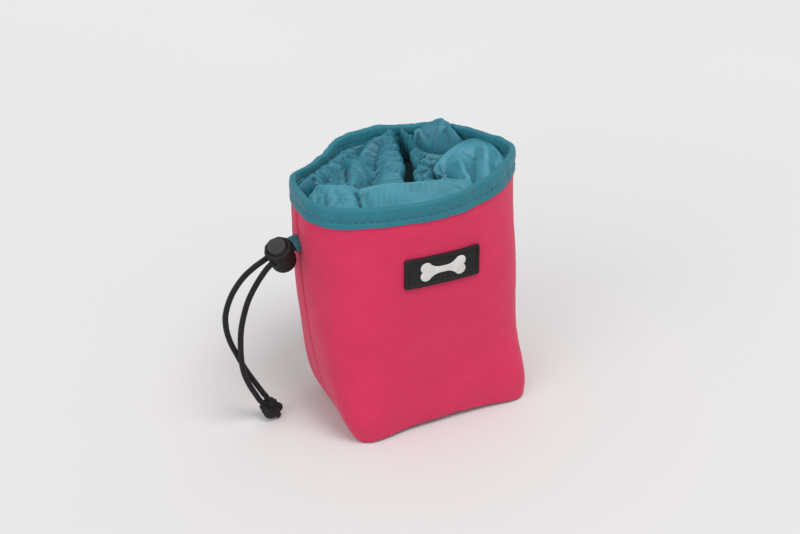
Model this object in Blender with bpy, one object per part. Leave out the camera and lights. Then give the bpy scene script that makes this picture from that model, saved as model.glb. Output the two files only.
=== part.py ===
"""Treat pouch: a soft pouch with a drawstring collar, a cord lock and a spring belt clip.

Sizes are in millimetres up to the point where a mesh is made, and objects are in metres, +Z up.
The origin is the middle of the underside. The label is on the front (-Y), the belt clip on the
back (+Y), and the drawcord comes out through the left side seam (-X).
"""

import functools
import math

import bmesh
import bpy
from mathutils import Matrix, Vector

MM = 0.001
GAP = 0.3

# Pouch wall: height, half width, half depth, squareness of the outline, shift to the right.
SECTIONS = (
    (0.0, 46.7, 32.9, 9.0, 0.0),
    (14.0, 51.0, 35.5, 6.5, -1.9),
    (45.0, 53.6, 37.5, 4.2, -4.8),
    (90.0, 56.2, 41.0, 2.9, -5.2),
    (139.0, 57.2, 43.3, 2.1, -3.2),
)
HEIGHT = SECTIONS[-1][0]
RIM_SETBACK = 1.1
RING = 48
FINE_RING = 720
PANEL = 1.6
LINER = 0.8
BINDING = 0.7
BINDING_OUTSIDE = 11.5
BINDING_INSIDE = 9.5
WALL_LEVELS = (0.15, 5.0, 14.0, 28.0, 45.0, 67.0, 90.0, 106.0, 122.0)
LINER_INSET = PANEL + GAP
INNER_FACE = LINER_INSET + LINER

# Mouth: the drawcord's racetrack, its turn seen from above, and the casing round it.
MOUTH_CENTRE = Vector((3.0, 6.0, 124.0))
MOUTH_TURN = math.radians(-9.0)
MOUTH_STRAIGHT = 20.0
MOUTH_RADIUS = 7.5
CASING_RADIUS = 3.6
CASING_BORE = 2.1
CASING_END_GAP = 5.0
CASING_WINDOW = 9.5
COLLAR = 2.0
COLLAR_RIM_Z = 136.0
COLLAR_MOUTH_Z = 127.6

# Drawcord, and the cord lock on it.
CORD_RADIUS = 1.5
CORD_STEP = 6.5
CORD_SPACING = 2.4
LOCK_CENTRE = Vector((-71.8, 0.0, 105.8))
CORD_OUT = Vector((-0.928, -0.100, -0.360)).normalized()
BARREL_UP = Vector((-0.320, -0.283, 0.904))
CORD_BEND = 50.0
CORD_SPLIT = -12.0
LOCK_RADIUS = 6.6
LOCK_BORE = 5.05
LOCK_BOTTOM = -9.5
LOCK_TOP = 4.6
LOCK_FLOOR = 1.3
BUTTON_RADIUS = 4.75
BUTTON_TOP = 7.0
BUTTON_TRAVEL = 2.2
CORD_HOLE = 1.9
PLUNGER_FOOT = -3.4
SPRING_RADIUS = 3.2
SPRING_WIRE = 0.35
SPRING_TURNS = 3.5
SLEEVE_WALL = 0.8
SLEEVE_SIDE = CORD_SPACING + CORD_RADIUS + 0.4
SLEEVE_RISE = CORD_RADIUS + 0.6
SLEEVE_OUTER_END = -7.3
SLEEVE_INNER_END = -16.5
KNOT_CENTRE = Vector((-81.8, 12.4, 5.6))
KNOT_SIZE = Vector((6.2, 5.6, 5.4))

# Where the two free strands pass after the lock, down to the knot on the table.
STRAND_ROUTES = {
    "drawcord_strand_back": (
        (-85.5, 1.6, 100.1), (-92.2, 1.5, 95.4), (-98.4, 1.6, 87.6), (-102.0, 3.0, 77.4),
        (-102.5, 4.2, 68.3), (-100.8, 5.8, 58.0), (-97.3, 7.6, 47.2), (-93.6, 9.0, 37.0),
        (-89.0, 10.6, 26.5), (-84.6, 11.8, 17.0), (-82.6, 12.2, 12.6),
    ),
    "drawcord_strand_front": (
        (-81.8, -2.4, 98.2), (-87.0, -2.0, 91.2), (-90.9, -0.6, 83.1), (-93.5, 0.9, 74.3),
        (-95.3, 2.4, 65.1), (-96.1, 3.6, 55.6), (-96.2, 4.8, 45.6), (-95.2, 6.0, 36.3),
        (-92.6, 7.6, 27.2), (-89.2, 9.4, 18.8), (-86.2, 10.9, 12.3),
    ),
}

# Label, belt clip and its fixings.
LABEL_CENTRE = (-1.5, 99.6)
LABEL_SIZE = (41.0, 17.0)
LABEL_TURN = math.radians(-2.6)
LABEL = 1.6
EMBLEM_HALF_LENGTH = 12.5
EMBLEM = 0.5
BACK_CENTRE = (-5.2, 84.0)
PATCH_SIZE = (42.0, 60.0)
PATCH = 1.2
BACKING_SIZE = (38.0, 20.0)
BACKING = 1.0
CLIP_STEEL = 1.0
CLIP_HALF = 10.0
CLIP_EAR_HALF = 18.0
CLIP_REACH = 23.0
CLIP_BEND = 3.8
RIVET_SPACING = 13.6
RIVET_SHANK = 1.5
RIVET_HOLE = RIVET_SHANK + GAP
RIVET_HEAD = 3.5


# ---------------------------------------------------------------- shapes shared by many pieces


def section_slope(knot, column):
    low = SECTIONS[max(knot - 1, 0)]
    high = SECTIONS[min(knot + 1, len(SECTIONS) - 1)]
    return (high[column] - low[column]) / (high[0] - low[0])


def section_at(z):
    """Half width, half depth, squareness and shift at a height, on a smooth curve."""
    knot = 0
    while knot < len(SECTIONS) - 2 and z > SECTIONS[knot + 1][0]:
        knot += 1
    low, high = SECTIONS[knot], SECTIONS[knot + 1]
    span = high[0] - low[0]
    t = (z - low[0]) / span
    values = []
    for column in range(1, 5):
        value = low[column] * (1 + 2 * t) * (1 - t) ** 2 + high[column] * t * t * (3 - 2 * t)
        value += span * section_slope(knot, column) * t * (1 - t) ** 2
        value += span * section_slope(knot + 1, column) * t * t * (t - 1)
        values.append(value)
    return values


def wall_point(angle, z):
    """The outer face's point in a direction from the middle, and its outward normal."""
    half_width, half_depth, power, shift = section_at(z)
    across, along = math.cos(angle), math.sin(angle)
    reach = abs(across / half_width) ** power + abs(along / half_depth) ** power
    reach **= -1 / power
    x, y = reach * across, reach * along
    normal = Vector(
        (
            math.copysign(abs(x / half_width) ** (power - 1) / half_width, x),
            math.copysign(abs(y / half_depth) ** (power - 1) / half_depth, y),
            0.0,
        )
    )
    return Vector((x + shift, y + RIM_SETBACK * z / HEIGHT, z)), normal.normalized()


@functools.lru_cache(maxsize=None)
def ring_angles(z):
    """RING directions at a height, closer together where the outline turns."""
    fine = [wall_point(2 * math.pi * i / FINE_RING, z) for i in range(FINE_RING + 1)]
    lengths = [(b[0] - a[0]).length for a, b in zip(fine, fine[1:])]
    turns = [b[1].angle(a[1]) for a, b in zip(fine, fine[1:])]
    reached = [0.0]
    for length, turn in zip(lengths, turns):
        reached.append(reached[-1] + length / sum(lengths) + turn / sum(turns))
    angles = []
    step = 0
    for i in range(RING):
        wanted = reached[-1] * i / RING
        while reached[step + 1] < wanted:
            step += 1
        part = (wanted - reached[step]) / (reached[step + 1] - reached[step])
        angles.append(2 * math.pi * (step + part) / FINE_RING)
    return angles


def ring(z, inset):
    """RING points round the pouch, set in from its outer face."""
    points = []
    for angle in ring_angles(z):
        point, normal = wall_point(angle, z)
        points.append(point - normal * inset)
    return points


def face_point(x, z, side, outset):
    """A point that stands off the front (side -1) or the back (side 1) of the pouch."""
    half_width, half_depth, power, shift = section_at(z)
    reach = (1 - abs((x - shift) / half_width) ** power) ** (1 / power)
    return Vector((x, side * (half_depth * reach + outset) + RIM_SETBACK * z / HEIGHT, z))


def grid_faces(rows, columns, loop_rows, loop_columns):
    faces = []
    for row in range(rows if loop_rows else rows - 1):
        for column in range(columns if loop_columns else columns - 1):
            next_row, next_column = (row + 1) % rows, (column + 1) % columns
            faces.append(
                (
                    row * columns + column,
                    row * columns + next_column,
                    next_row * columns + next_column,
                    next_row * columns + column,
                )
            )
    return faces


def make_object(name, points, faces, material, origin=Vector(), smooth=40.0):
    """A mesh object with its faces pointing out, its origin where a joint needs it."""
    shape = bmesh.new()
    verts = [shape.verts.new((point - origin) * MM) for point in points]
    for face in faces:
        shape.faces.new([verts[i] for i in face])
    bmesh.ops.recalc_face_normals(shape, faces=shape.faces)
    mesh = bpy.data.meshes.new(name)
    shape.to_mesh(mesh)
    shape.free()
    mesh.shade_smooth()
    mesh.set_sharp_from_angle(angle=math.radians(smooth))
    thing = bpy.data.objects.new(name, mesh)
    bpy.context.collection.objects.link(thing)
    thing.location = origin * MM
    if material:
        mesh.materials.append(material)
    return thing


def make_hoop(name, profile, material):
    """A closed band round the pouch. The profile is a loop of (inset, height)."""
    points = [point for inset, z in profile for point in ring(z, inset)]
    return make_object(name, points, grid_faces(len(profile), RING, True, True), material)


def make_slab(name, top, bottom, material, origin=Vector()):
    """A closed sheet between two grids of points of the same size."""
    rows, columns = len(top), len(top[0])
    points = [point for grid in (top, bottom) for row in grid for point in row]
    under = rows * columns
    faces = grid_faces(rows, columns, False, False)
    faces += [tuple(i + under for i in face) for face in grid_faces(rows, columns, False, False)]
    border = [(0, k) for k in range(columns)]
    border += [(k, columns - 1) for k in range(1, rows)]
    border += [(rows - 1, k) for k in reversed(range(columns - 1))]
    border += [(k, 0) for k in reversed(range(1, rows - 1))]
    edge = [row * columns + column for row, column in border]
    for here, there in zip(edge, edge[1:] + edge[:1]):
        faces.append((here, there, there + under, here + under))
    return make_object(name, points, faces, material, origin)


def make_plate(name, outline, low, high, material):
    """A flat plate of a convex outline between two heights."""
    count = len(outline)
    points = [Vector((p.x, p.y, z)) for z in (low, high) for p in outline]
    faces = [tuple(range(count)), tuple(range(count, 2 * count))]
    faces += grid_faces(2, count, False, True)
    return make_object(name, points, faces, material)


def make_turned(name, profile, sides, material, smooth=40.0):
    """A turned piece about the local Z axis, its first and last circles closed."""
    points = []
    for radius, height in profile:
        for side in range(sides):
            turn = 2 * math.pi * side / sides
            points.append(Vector((radius * math.cos(turn), radius * math.sin(turn), height)))
    faces = grid_faces(len(profile), sides, False, True)
    faces.append(tuple(range(sides)))
    faces.append(tuple(range(len(points) - sides, len(points))))
    return make_object(name, points, faces, material, smooth=smooth)


def make_tube(name, route, radius, resolution, material, origin=Vector()):
    """A solid cord: a poly curve with a round bevel and closed ends."""
    curve = bpy.data.curves.new(name, "CURVE")
    curve.dimensions = "3D"
    curve.bevel_depth = radius * MM
    curve.bevel_resolution = resolution
    curve.use_fill_caps = True
    spline = curve.splines.new("POLY")
    spline.points.add(len(route) - 1)
    for knot, point in zip(spline.points, route):
        knot.co = (*((point - origin) * MM), 1.0)
    curve.materials.append(material)
    thing = bpy.data.objects.new(name, curve)
    bpy.context.collection.objects.link(thing)
    thing.location = origin * MM
    return thing


def make_pipe(name, route, outer, inner, material, origin=Vector()):
    """A hollow tube along a route of (point, side, rise), with two sections of (side, rise)."""
    rows = [(place, outer) for place in route] + [(place, inner) for place in reversed(route)]
    points = []
    for (point, side, rise), section in rows:
        points += [point + side * across + rise * up for across, up in section]
    faces = grid_faces(len(rows), len(outer), True, True)
    return make_object(name, points, faces, material, origin)


def oval(half_width, half_height, sides):
    turns = [2 * math.pi * side / sides for side in range(sides)]
    return [(half_width * math.cos(turn), half_height * math.sin(turn)) for turn in turns]


def smooth_route(knots, step):
    """Evenly spaced points on a Catmull-Rom curve through the knots."""
    ends = [2 * knots[0] - knots[1], *knots, 2 * knots[-1] - knots[-2]]
    dense = []
    for a, b, c, d in zip(ends, ends[1:], ends[2:], ends[3:]):
        for i in range(20):
            t = i / 20
            bend = (2 * a - 5 * b + 4 * c - d) * t * t + (3 * b - a - 3 * c + d) * t**3
            dense.append(0.5 * (2 * b + (c - a) * t + bend))
    dense.append(knots[-1])
    reached = [0.0]
    for here, there in zip(dense, dense[1:]):
        reached.append(reached[-1] + (there - here).length)
    count = max(2, round(reached[-1] / step))
    route = []
    place = 0
    for i in range(count + 1):
        wanted = reached[-1] * i / count
        while place < len(dense) - 2 and reached[place + 1] < wanted:
            place += 1
        part = (wanted - reached[place]) / (reached[place + 1] - reached[place])
        route.append(dense[place].lerp(dense[place + 1], part))
    return route


def cut(target, cutter):
    """Takes a cutter, which stays out of the render, away from a piece."""
    cutter.hide_render = True
    cutter.display_type = "WIRE"
    boolean = target.modifiers.new("cut_" + cutter.name, "BOOLEAN")
    boolean.operation = "DIFFERENCE"
    boolean.solver = "EXACT"
    boolean.object = cutter


def make_axis(name, place):
    """An empty on a joint's axis, which carries the pieces that move with the joint."""
    axis = bpy.data.objects.new(name, None)
    axis.location = place * MM
    bpy.context.collection.objects.link(axis)
    return axis


def carry(thing, axis, matrix):
    """Parents a piece that is modelled about its own origin to an axis, at a world matrix."""
    thing.parent = axis
    thing.matrix_basis = Matrix.Translation(-axis.location) @ matrix


def make_material(name, colour, roughness, metallic=0.0):
    material = bpy.data.materials.new(name)
    material.use_nodes = True
    shader = material.node_tree.nodes["Principled BSDF"]
    shader.inputs["Base Color"].default_value = (*colour, 1.0)
    shader.inputs["Roughness"].default_value = roughness
    shader.inputs["Metallic"].default_value = metallic
    return material


# ---------------------------------------------------------------- the drawcord's course


LOCK_SIDE = BARREL_UP.cross(CORD_OUT).normalized()
LOCK_AXIS = CORD_OUT.cross(LOCK_SIDE).normalized()
LOCK_PIVOT = LOCK_CENTRE - LOCK_AXIS * CORD_BEND


def cord_frame(distance):
    """The middle of the two strands near the lock: an arc, and straight inside the sleeve."""
    turn = max(distance, SLEEVE_OUTER_END) / CORD_BEND
    along = CORD_OUT * math.cos(turn) - LOCK_AXIS * math.sin(turn)
    rise = LOCK_AXIS * math.cos(turn) + CORD_OUT * math.sin(turn)
    point = LOCK_PIVOT + rise * CORD_BEND
    if distance < SLEEVE_OUTER_END:
        point += along * (distance - SLEEVE_OUTER_END)
    return point, LOCK_SIDE, rise


def mouth_point(across, along, z=MOUTH_CENTRE.z):
    """A point in the mouth's own directions: across its slot, and along it to the back."""
    point = Vector((across, along, 0.0))
    point.rotate(Matrix.Rotation(MOUTH_TURN, 3, "Z"))
    return Vector((MOUTH_CENTRE.x + point.x, MOUTH_CENTRE.y + point.y, z))


def racetrack(distance_out, sides):
    """The mouth's outline, widened, as (across, along): up the right side and round the back."""
    radius = MOUTH_RADIUS + distance_out
    points = []
    quarter = sides // 4
    for end in (1, -1):
        for i in range(quarter):
            points.append((end * radius, end * MOUTH_STRAIGHT * (2 * i / quarter - 1)))
        for i in range(quarter):
            turn = math.pi * i / quarter
            across, along = radius * math.cos(turn), MOUTH_STRAIGHT + radius * math.sin(turn)
            points.append((end * across, end * along))
    return points


# ---------------------------------------------------------------- the pouch


def make_panel(name, columns, seam_shift, material):
    """Half of the outer wall, from one side seam to the other."""
    outer, inner = [], []
    for z in (*WALL_LEVELS, HEIGHT - BINDING - GAP):
        for grid, inset in ((outer, 0.0), (inner, PANEL)):
            points = ring(z, inset)
            row = [points[k % RING].copy() for k in columns]
            row[0].y += seam_shift
            row[-1].y += seam_shift
            grid.append(row)
    return make_slab(name, outer, inner, material)


def make_shell(cloth, lining, trim):
    front = make_panel("front_panel", range(RING // 2, RING + 1), -GAP / 2, cloth)
    back = make_panel("back_panel", range(RING // 2 + 1), GAP / 2, cloth)
    make_plate("base_panel", ring(0.0, LINER_INSET), 0.0, PANEL, cloth)
    floor = PANEL + GAP
    make_plate("liner_base", ring(floor, LINER_INSET), floor, floor + LINER, lining)
    top = HEIGHT - BINDING - GAP
    levels = [floor + LINER + GAP, *WALL_LEVELS[2::2], top]
    profile = [(LINER_INSET, z) for z in levels]
    profile += [(INNER_FACE, z) for z in reversed(levels)]
    liner = make_hoop("liner_wall", profile, lining)
    inside = INNER_FACE + GAP
    binding = (
        (-GAP - BINDING, HEIGHT - BINDING_OUTSIDE),
        (-GAP - BINDING, HEIGHT - BINDING),
        (-GAP, HEIGHT),
        (inside, HEIGHT),
        (inside + BINDING, HEIGHT - BINDING),
        (inside + BINDING, HEIGHT - BINDING_INSIDE),
        (inside, HEIGHT - BINDING_INSIDE),
        (inside, HEIGHT - BINDING),
        (-GAP, HEIGHT - BINDING),
        (-GAP, HEIGHT - BINDING_OUTSIDE),
    )
    make_hoop("rim_binding", binding, trim)
    return front, back, liner


def point_beyond(loop, middle, point):
    """Where a line from the middle through a point meets a loop, seen from above."""
    bearing = math.atan2(point.y - middle.y, point.x - middle.x)
    nearest = []
    for other in loop:
        away = math.atan2(other.y - middle.y, other.x - middle.x) - bearing
        nearest.append((abs(math.remainder(away, 2 * math.pi)), other))
    nearest.sort(key=lambda pair: pair[0])
    (near_turn, near), (far_turn, far) = nearest[:2]
    return near.lerp(far, near_turn / (near_turn + far_turn))


def make_collar(trim):
    """The loose collar, from the binding down to the gathered mouth."""
    rim = ring(COLLAR_RIM_Z, INNER_FACE + 2 * GAP + BINDING)
    middle = mouth_point(0.0, 0.0)
    inner = [mouth_point(*p, COLLAR_MOUTH_Z) for p in racetrack(CASING_RADIUS + 2 * GAP, RING)]
    outer = [point_beyond(rim, middle, point) for point in inner]
    rows = []
    for part in (0.0, 0.3, 0.6, 1.0):
        fall = part ** 1.4
        row = []
        for a, b in zip(outer, inner):
            point = a.lerp(b, part)
            point.z = a.z + (b.z - a.z) * fall
            row.append(point)
        rows.append(row)
    under = [[point - Vector((0, 0, COLLAR)) for point in row] for row in reversed(rows)]
    points = [point for row in rows + under for point in row]
    faces = grid_faces(2 * len(rows), len(inner), True, True)
    make_object("collar", points, faces, trim)


def casing_route(side):
    """One half of the racetrack as (point, across, up), from its front end to its back end."""
    start = math.asin(CASING_END_GAP / MOUTH_RADIUS)
    bend = [start + (math.pi / 2 - start) * i / 5 for i in range(6)]
    half = []
    for turn in reversed(bend):
        across = side * MOUTH_RADIUS * math.sin(turn)
        along = MOUTH_STRAIGHT + MOUTH_RADIUS * math.cos(turn)
        half.append((across, along, side * math.sin(turn), math.cos(turn)))
    straight = [(side * MOUTH_RADIUS, MOUTH_STRAIGHT * t, side, 0.0) for t in (-0.5, 0.0, 0.5)]
    front = [(across, -along, out_x, -out_y) for across, along, out_x, out_y in reversed(half)]
    route = []
    for across, along, out_x, out_y in front + straight + half:
        outward = mouth_point(out_x, out_y) - mouth_point(0.0, 0.0)
        route.append((mouth_point(across, along), outward, Vector((0.0, 0.0, 1.0))))
    return route


def make_casing(name, side, trim):
    origin = mouth_point(side * MOUTH_RADIUS, 0.0)
    outer = oval(CASING_RADIUS, CASING_RADIUS, 12)
    inner = oval(CASING_BORE, CASING_BORE, 12)
    return make_pipe(name, casing_route(side), outer, inner, trim, origin)


def make_mouth(trim):
    make_casing("casing_right", 1, trim)
    left = make_casing("casing_left", -1, trim)
    window = [
        mouth_point(-MOUTH_RADIUS - 2 * CASING_RADIUS, -CASING_WINDOW),
        mouth_point(-MOUTH_RADIUS - 0.4, -CASING_WINDOW),
        mouth_point(-MOUTH_RADIUS - 0.4, CASING_WINDOW),
        mouth_point(-MOUTH_RADIUS - 2 * CASING_RADIUS, CASING_WINDOW),
    ]
    reach = 2 * CASING_RADIUS
    low, high = MOUTH_CENTRE.z - reach, MOUTH_CENTRE.z + reach
    cut(left, make_plate("casing_window", window, low, high, None))


# ---------------------------------------------------------------- the drawcord and its lock


def strand_start(side, distance):
    point, sideways, _ = cord_frame(distance)
    return point + sideways * side * CORD_SPACING


def make_drawcord(cord):
    """The loop inside the pouch and the two strands outside it, one cord cut at the sleeve."""
    for name, side in (("drawcord_strand_back", -1), ("drawcord_strand_front", 1)):
        knots = [strand_start(side, distance) for distance in (CORD_SPLIT, -7.0, 0.0, 7.0)]
        knots += [Vector(point) for point in STRAND_ROUTES[name]]
        make_tube(name, smooth_route(knots, CORD_STEP), CORD_RADIUS, 2, cord)
    tails = {}
    for side in (-1, 1):
        tails[side] = [
            strand_start(side, CORD_SPLIT - 2 * GAP),
            strand_start(side, SLEEVE_INNER_END),
            Vector((-46.0, 1.5 - side * 2.6, 114.8)),
            Vector((-30.0, 3.4 - side * 2.8, 119.6)),
            mouth_point(-16.0, -side * 3.0, 122.2),
            mouth_point(-10.6, -side * 4.6, 123.6),
            mouth_point(-MOUTH_RADIUS - 0.5, -side * 8.6),
        ]
    round_mouth = []
    for i in range(5):
        round_mouth.append(mouth_point(-MOUTH_RADIUS, 12.0 + 2.0 * i))
    for i in range(1, 8):
        turn = math.pi * i / 8
        across, along = -MOUTH_RADIUS * math.cos(turn), MOUTH_RADIUS * math.sin(turn)
        round_mouth.append(mouth_point(across, MOUTH_STRAIGHT + along))
    right_side = [mouth_point(MOUTH_RADIUS, MOUTH_STRAIGHT - 5.0 * i) for i in range(9)]
    front_end = []
    for i in range(1, 8):
        turn = math.pi * i / 8
        across, along = MOUTH_RADIUS * math.cos(turn), -MOUTH_RADIUS * math.sin(turn)
        front_end.append(mouth_point(across, -MOUTH_STRAIGHT + along))
    left_front = [mouth_point(-MOUTH_RADIUS, -MOUTH_STRAIGHT + 2.0 * i) for i in range(5)]
    knots = tails[-1] + round_mouth + right_side + front_end + left_front + tails[1][::-1]
    make_tube("drawcord_loop", smooth_route(knots, 4.5), CORD_RADIUS, 2, cord)


def make_sleeve(trim, shell):
    """The short fabric sleeve that both strands come out through, and the slit it sits in."""
    route = [cord_frame(distance) for distance in (SLEEVE_INNER_END, SLEEVE_OUTER_END)]
    inner = oval(SLEEVE_SIDE + 0.9, SLEEVE_RISE, 16)
    outer = oval(SLEEVE_SIDE + 0.9 + SLEEVE_WALL, SLEEVE_RISE + SLEEVE_WALL, 16)
    make_pipe("exit_sleeve", route, outer, inner, trim)
    section = oval(SLEEVE_SIDE + 1.2 + SLEEVE_WALL, SLEEVE_RISE + SLEEVE_WALL + GAP, 16)
    points = []
    for distance in (SLEEVE_INNER_END - 4.0, SLEEVE_OUTER_END + 2.0):
        point, sideways, rise = cord_frame(distance)
        points += [point + sideways * across + rise * up for across, up in section]
    faces = grid_faces(2, 16, False, True) + [tuple(range(16)), tuple(range(16, 32))]
    slit = make_object("sleeve_slit", points, faces, None)
    for piece in shell:
        cut(piece, slit)


def make_slot_cutter(name, side, rise_low, rise_high):
    """A cutter along the local X axis for one cord, its section a slot along Z."""
    section = []
    for centre, start in ((rise_high, 0.0), (rise_low, math.pi)):
        for i in range(9):
            turn = start + math.pi * i / 8
            section.append((CORD_HOLE * math.cos(turn), centre + CORD_HOLE * math.sin(turn)))
    points = []
    for x in (-2 * LOCK_RADIUS, 2 * LOCK_RADIUS):
        points += [Vector((x, side * CORD_SPACING + y, z)) for y, z in section]
    count = len(section)
    faces = [tuple(range(count)), tuple(range(count, 2 * count))]
    faces += grid_faces(2, count, False, True)
    return make_object(name, points, faces, None)


def make_lock(moulding, steel):
    """Barrel, sprung button and spring, modelled upright and set at the barrel's tilt."""
    pivot = make_axis("lock_slide_axis", LOCK_PIVOT)
    place = Matrix((CORD_OUT, LOCK_SIDE, LOCK_AXIS)).transposed().to_4x4()
    place.translation = LOCK_CENTRE * MM
    barrel = [
        (LOCK_RADIUS - 3.0, LOCK_BOTTOM),
        (LOCK_RADIUS - 1.1, LOCK_BOTTOM + 0.7),
        (LOCK_RADIUS - 0.2, LOCK_BOTTOM + 2.2),
        (LOCK_RADIUS, LOCK_BOTTOM + 4.4),
        (LOCK_RADIUS, LOCK_TOP - 0.8),
        (LOCK_RADIUS - 0.8, LOCK_TOP),
        (LOCK_BORE, LOCK_TOP),
        (LOCK_BORE, LOCK_BOTTOM + LOCK_FLOOR),
    ]
    housing = make_turned("lock_housing", barrel, 24, moulding)
    plunger = [
        (BUTTON_RADIUS, PLUNGER_FOOT),
        (BUTTON_RADIUS, BUTTON_TOP - 0.6),
        (BUTTON_RADIUS - 0.6, BUTTON_TOP),
    ]
    button = make_turned("lock_button", plunger, 24, moulding)
    for side in (-1, 1):
        hole = make_slot_cutter(f"housing_hole_{side}", side, -0.2, 0.0)
        slot = make_slot_cutter(f"button_slot_{side}", side, -0.1, BUTTON_TRAVEL)
        cut(housing, hole)
        cut(button, slot)
        carry(hole, pivot, place)
        carry(slot, pivot, place)
    low = LOCK_BOTTOM + LOCK_FLOOR + GAP + SPRING_WIRE
    high = PLUNGER_FOOT - GAP - SPRING_WIRE
    steps = round(SPRING_TURNS * 12)
    coil = []
    for i in range(steps + 1):
        turn = 2 * math.pi * SPRING_TURNS * i / steps
        height = low + (high - low) * i / steps
        coil.append(
            Vector((SPRING_RADIUS * math.cos(turn), SPRING_RADIUS * math.sin(turn), height))
        )
    spring = make_tube("lock_spring", coil, SPRING_WIRE, 1, steel)
    for piece in (housing, button, spring):
        carry(piece, pivot, place)


def make_knot(cord):
    """The outer shape of the end knot: a squat lump with one lobe larger than the other."""
    lump = bmesh.new()
    bmesh.ops.create_icosphere(lump, subdivisions=3, radius=1.0)
    points = []
    for vert in lump.verts:
        bulge = 1.0 + 0.06 * math.sin(3.0 * vert.co.x + 1.0) - 0.04 * vert.co.z
        bulge = min(bulge, 1.0) if vert.co.z < -0.5 else bulge
        points.append(KNOT_CENTRE + vert.co * KNOT_SIZE * bulge)
    faces = [tuple(vert.index for vert in face.verts) for face in lump.faces]
    lump.free()
    make_object("end_knot", points, faces, cord)


# ---------------------------------------------------------------- label and belt clip


def label_point(u, v, outset):
    """A point over the label, across and up from its middle, standing off the front."""
    x = LABEL_CENTRE[0] + u * math.cos(LABEL_TURN) - v * math.sin(LABEL_TURN)
    z = LABEL_CENTRE[1] + u * math.sin(LABEL_TURN) + v * math.cos(LABEL_TURN)
    return face_point(x, z, -1, outset)


def make_label(rubber, print_white):
    half_width, half_height = LABEL_SIZE[0] / 2, LABEL_SIZE[1] / 2
    grids = []
    for outset in (GAP + LABEL, GAP):
        rows = []
        for v in (-half_height, 0.0, half_height):
            columns = [half_width * (i - 5) / 5 for i in range(11)]
            rows.append([label_point(u, v, outset) for u in columns])
        grids.append(rows)
    make_slab("label_patch", grids[0], grids[1], rubber)
    shaft, knuckle = 1.7, 3.9
    stations = (
        (1.0, 2.6), (0.88, knuckle), (0.74, 3.5), (0.66, 2.2), (0.56, shaft), (0.2, shaft),
    )
    stations += tuple((-part, half) for part, half in reversed(stations))
    grids = []
    for outset in (2 * GAP + LABEL + EMBLEM, 2 * GAP + LABEL):
        rows = []
        for part, half in stations:
            heights = (-half, 0.0, half)
            rows.append([label_point(part * EMBLEM_HALF_LENGTH, v, outset) for v in heights])
        grids.append(rows)
    make_slab("label_emblem", grids[0], grids[1], print_white)


def back_slope():
    """How far the back of the pouch leans outwards over the height of the clip."""
    x, z = BACK_CENTRE
    low, high = face_point(x, z - CLIP_REACH, 1, 0.0), face_point(x, z + CLIP_REACH, 1, 0.0)
    return math.atan2(high.y - low.y, high.z - low.z)


def clip_frame():
    """The clip's own directions at the patch's outer face: across, outwards, up the back."""
    x, z = BACK_CENTRE
    rotation = Matrix.Rotation(-back_slope(), 4, "X")
    middle = face_point(x, z, 1, 2 * GAP + PATCH)
    return Matrix.Translation(middle) @ rotation


def make_strip(name, course, steel, frame, origin):
    """A bent strip of steel. The course lists (outwards, up, half width) and its normal."""
    outer, inner = [], []
    for (out, up, half), (normal_out, normal_up) in course:
        for grid, side in ((outer, 0.5), (inner, -0.5)):
            y = out + side * CLIP_STEEL * normal_out
            z = up + side * CLIP_STEEL * normal_up
            grid.append([frame @ Vector((x, y, z)) for x in (-half, 0.0, half)])
    return make_slab(name, outer, inner, steel, origin)


def make_clip(steel):
    """The belt clip: a riveted plate with ears, bent over the top into a springy tongue."""
    frame = clip_frame()
    middle = CLIP_STEEL / 2
    top = CLIP_REACH
    plate = []
    widths = (
        (-CLIP_REACH, CLIP_HALF - 1.5), (-CLIP_REACH + 1.5, CLIP_HALF), (-8.0, CLIP_HALF),
        (-5.0, CLIP_EAR_HALF - 1.5), (-3.5, CLIP_EAR_HALF), (3.5, CLIP_EAR_HALF),
        (5.0, CLIP_EAR_HALF - 1.5), (8.0, CLIP_HALF),
    )
    for up, half in widths:
        plate.append(((middle, up, half), (1.0, 0.0)))
    for i in range(13):
        turn = math.pi * i / 12
        out = middle + CLIP_BEND * (1 - math.cos(turn))
        up = top + CLIP_BEND * math.sin(turn)
        plate.append(((out, up, CLIP_HALF), (math.cos(turn), -math.sin(turn))))
    body = make_strip("clip_plate", plate, steel, frame, Vector())
    hinge_out = middle + 2 * CLIP_BEND
    hinge = frame @ Vector((0.0, hinge_out, top - GAP / 2))
    tongue = [
        ((hinge_out, top - GAP, CLIP_HALF), (1.0, 0.0)),
        ((hinge_out, 2.0, CLIP_HALF), (1.0, 0.0)),
        ((hinge_out - 1.2, -4.0, CLIP_HALF - 0.3), (0.96, 0.28)),
        ((hinge_out - 4.2, -14.0, CLIP_HALF - 1.0), (0.985, 0.17)),
        ((hinge_out - 4.4, -17.0, CLIP_HALF - 1.4), (0.985, -0.17)),
        ((hinge_out - 2.6, -22.0, CLIP_HALF - 2.4), (0.92, -0.39)),
        ((hinge_out - 1.6, -24.0, CLIP_HALF - 4.6), (0.92, -0.39)),
    ]
    make_strip("clip_tongue", tongue, steel, frame, hinge)
    return body


def make_back_plate(name, size, low, high, material):
    """A rectangle that follows the back of the pouch between two stand-offs."""
    x, z = BACK_CENTRE
    grids = []
    for outset in (high, low):
        rows = []
        for j in range(4):
            level = z + size[1] * (j / 3 - 0.5)
            columns = [x + size[0] * (i / 8 - 0.5) for i in range(9)]
            rows.append([face_point(column, level, 1, outset) for column in columns])
        grids.append(rows)
    return make_slab(name, grids[0], grids[1], material)


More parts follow.
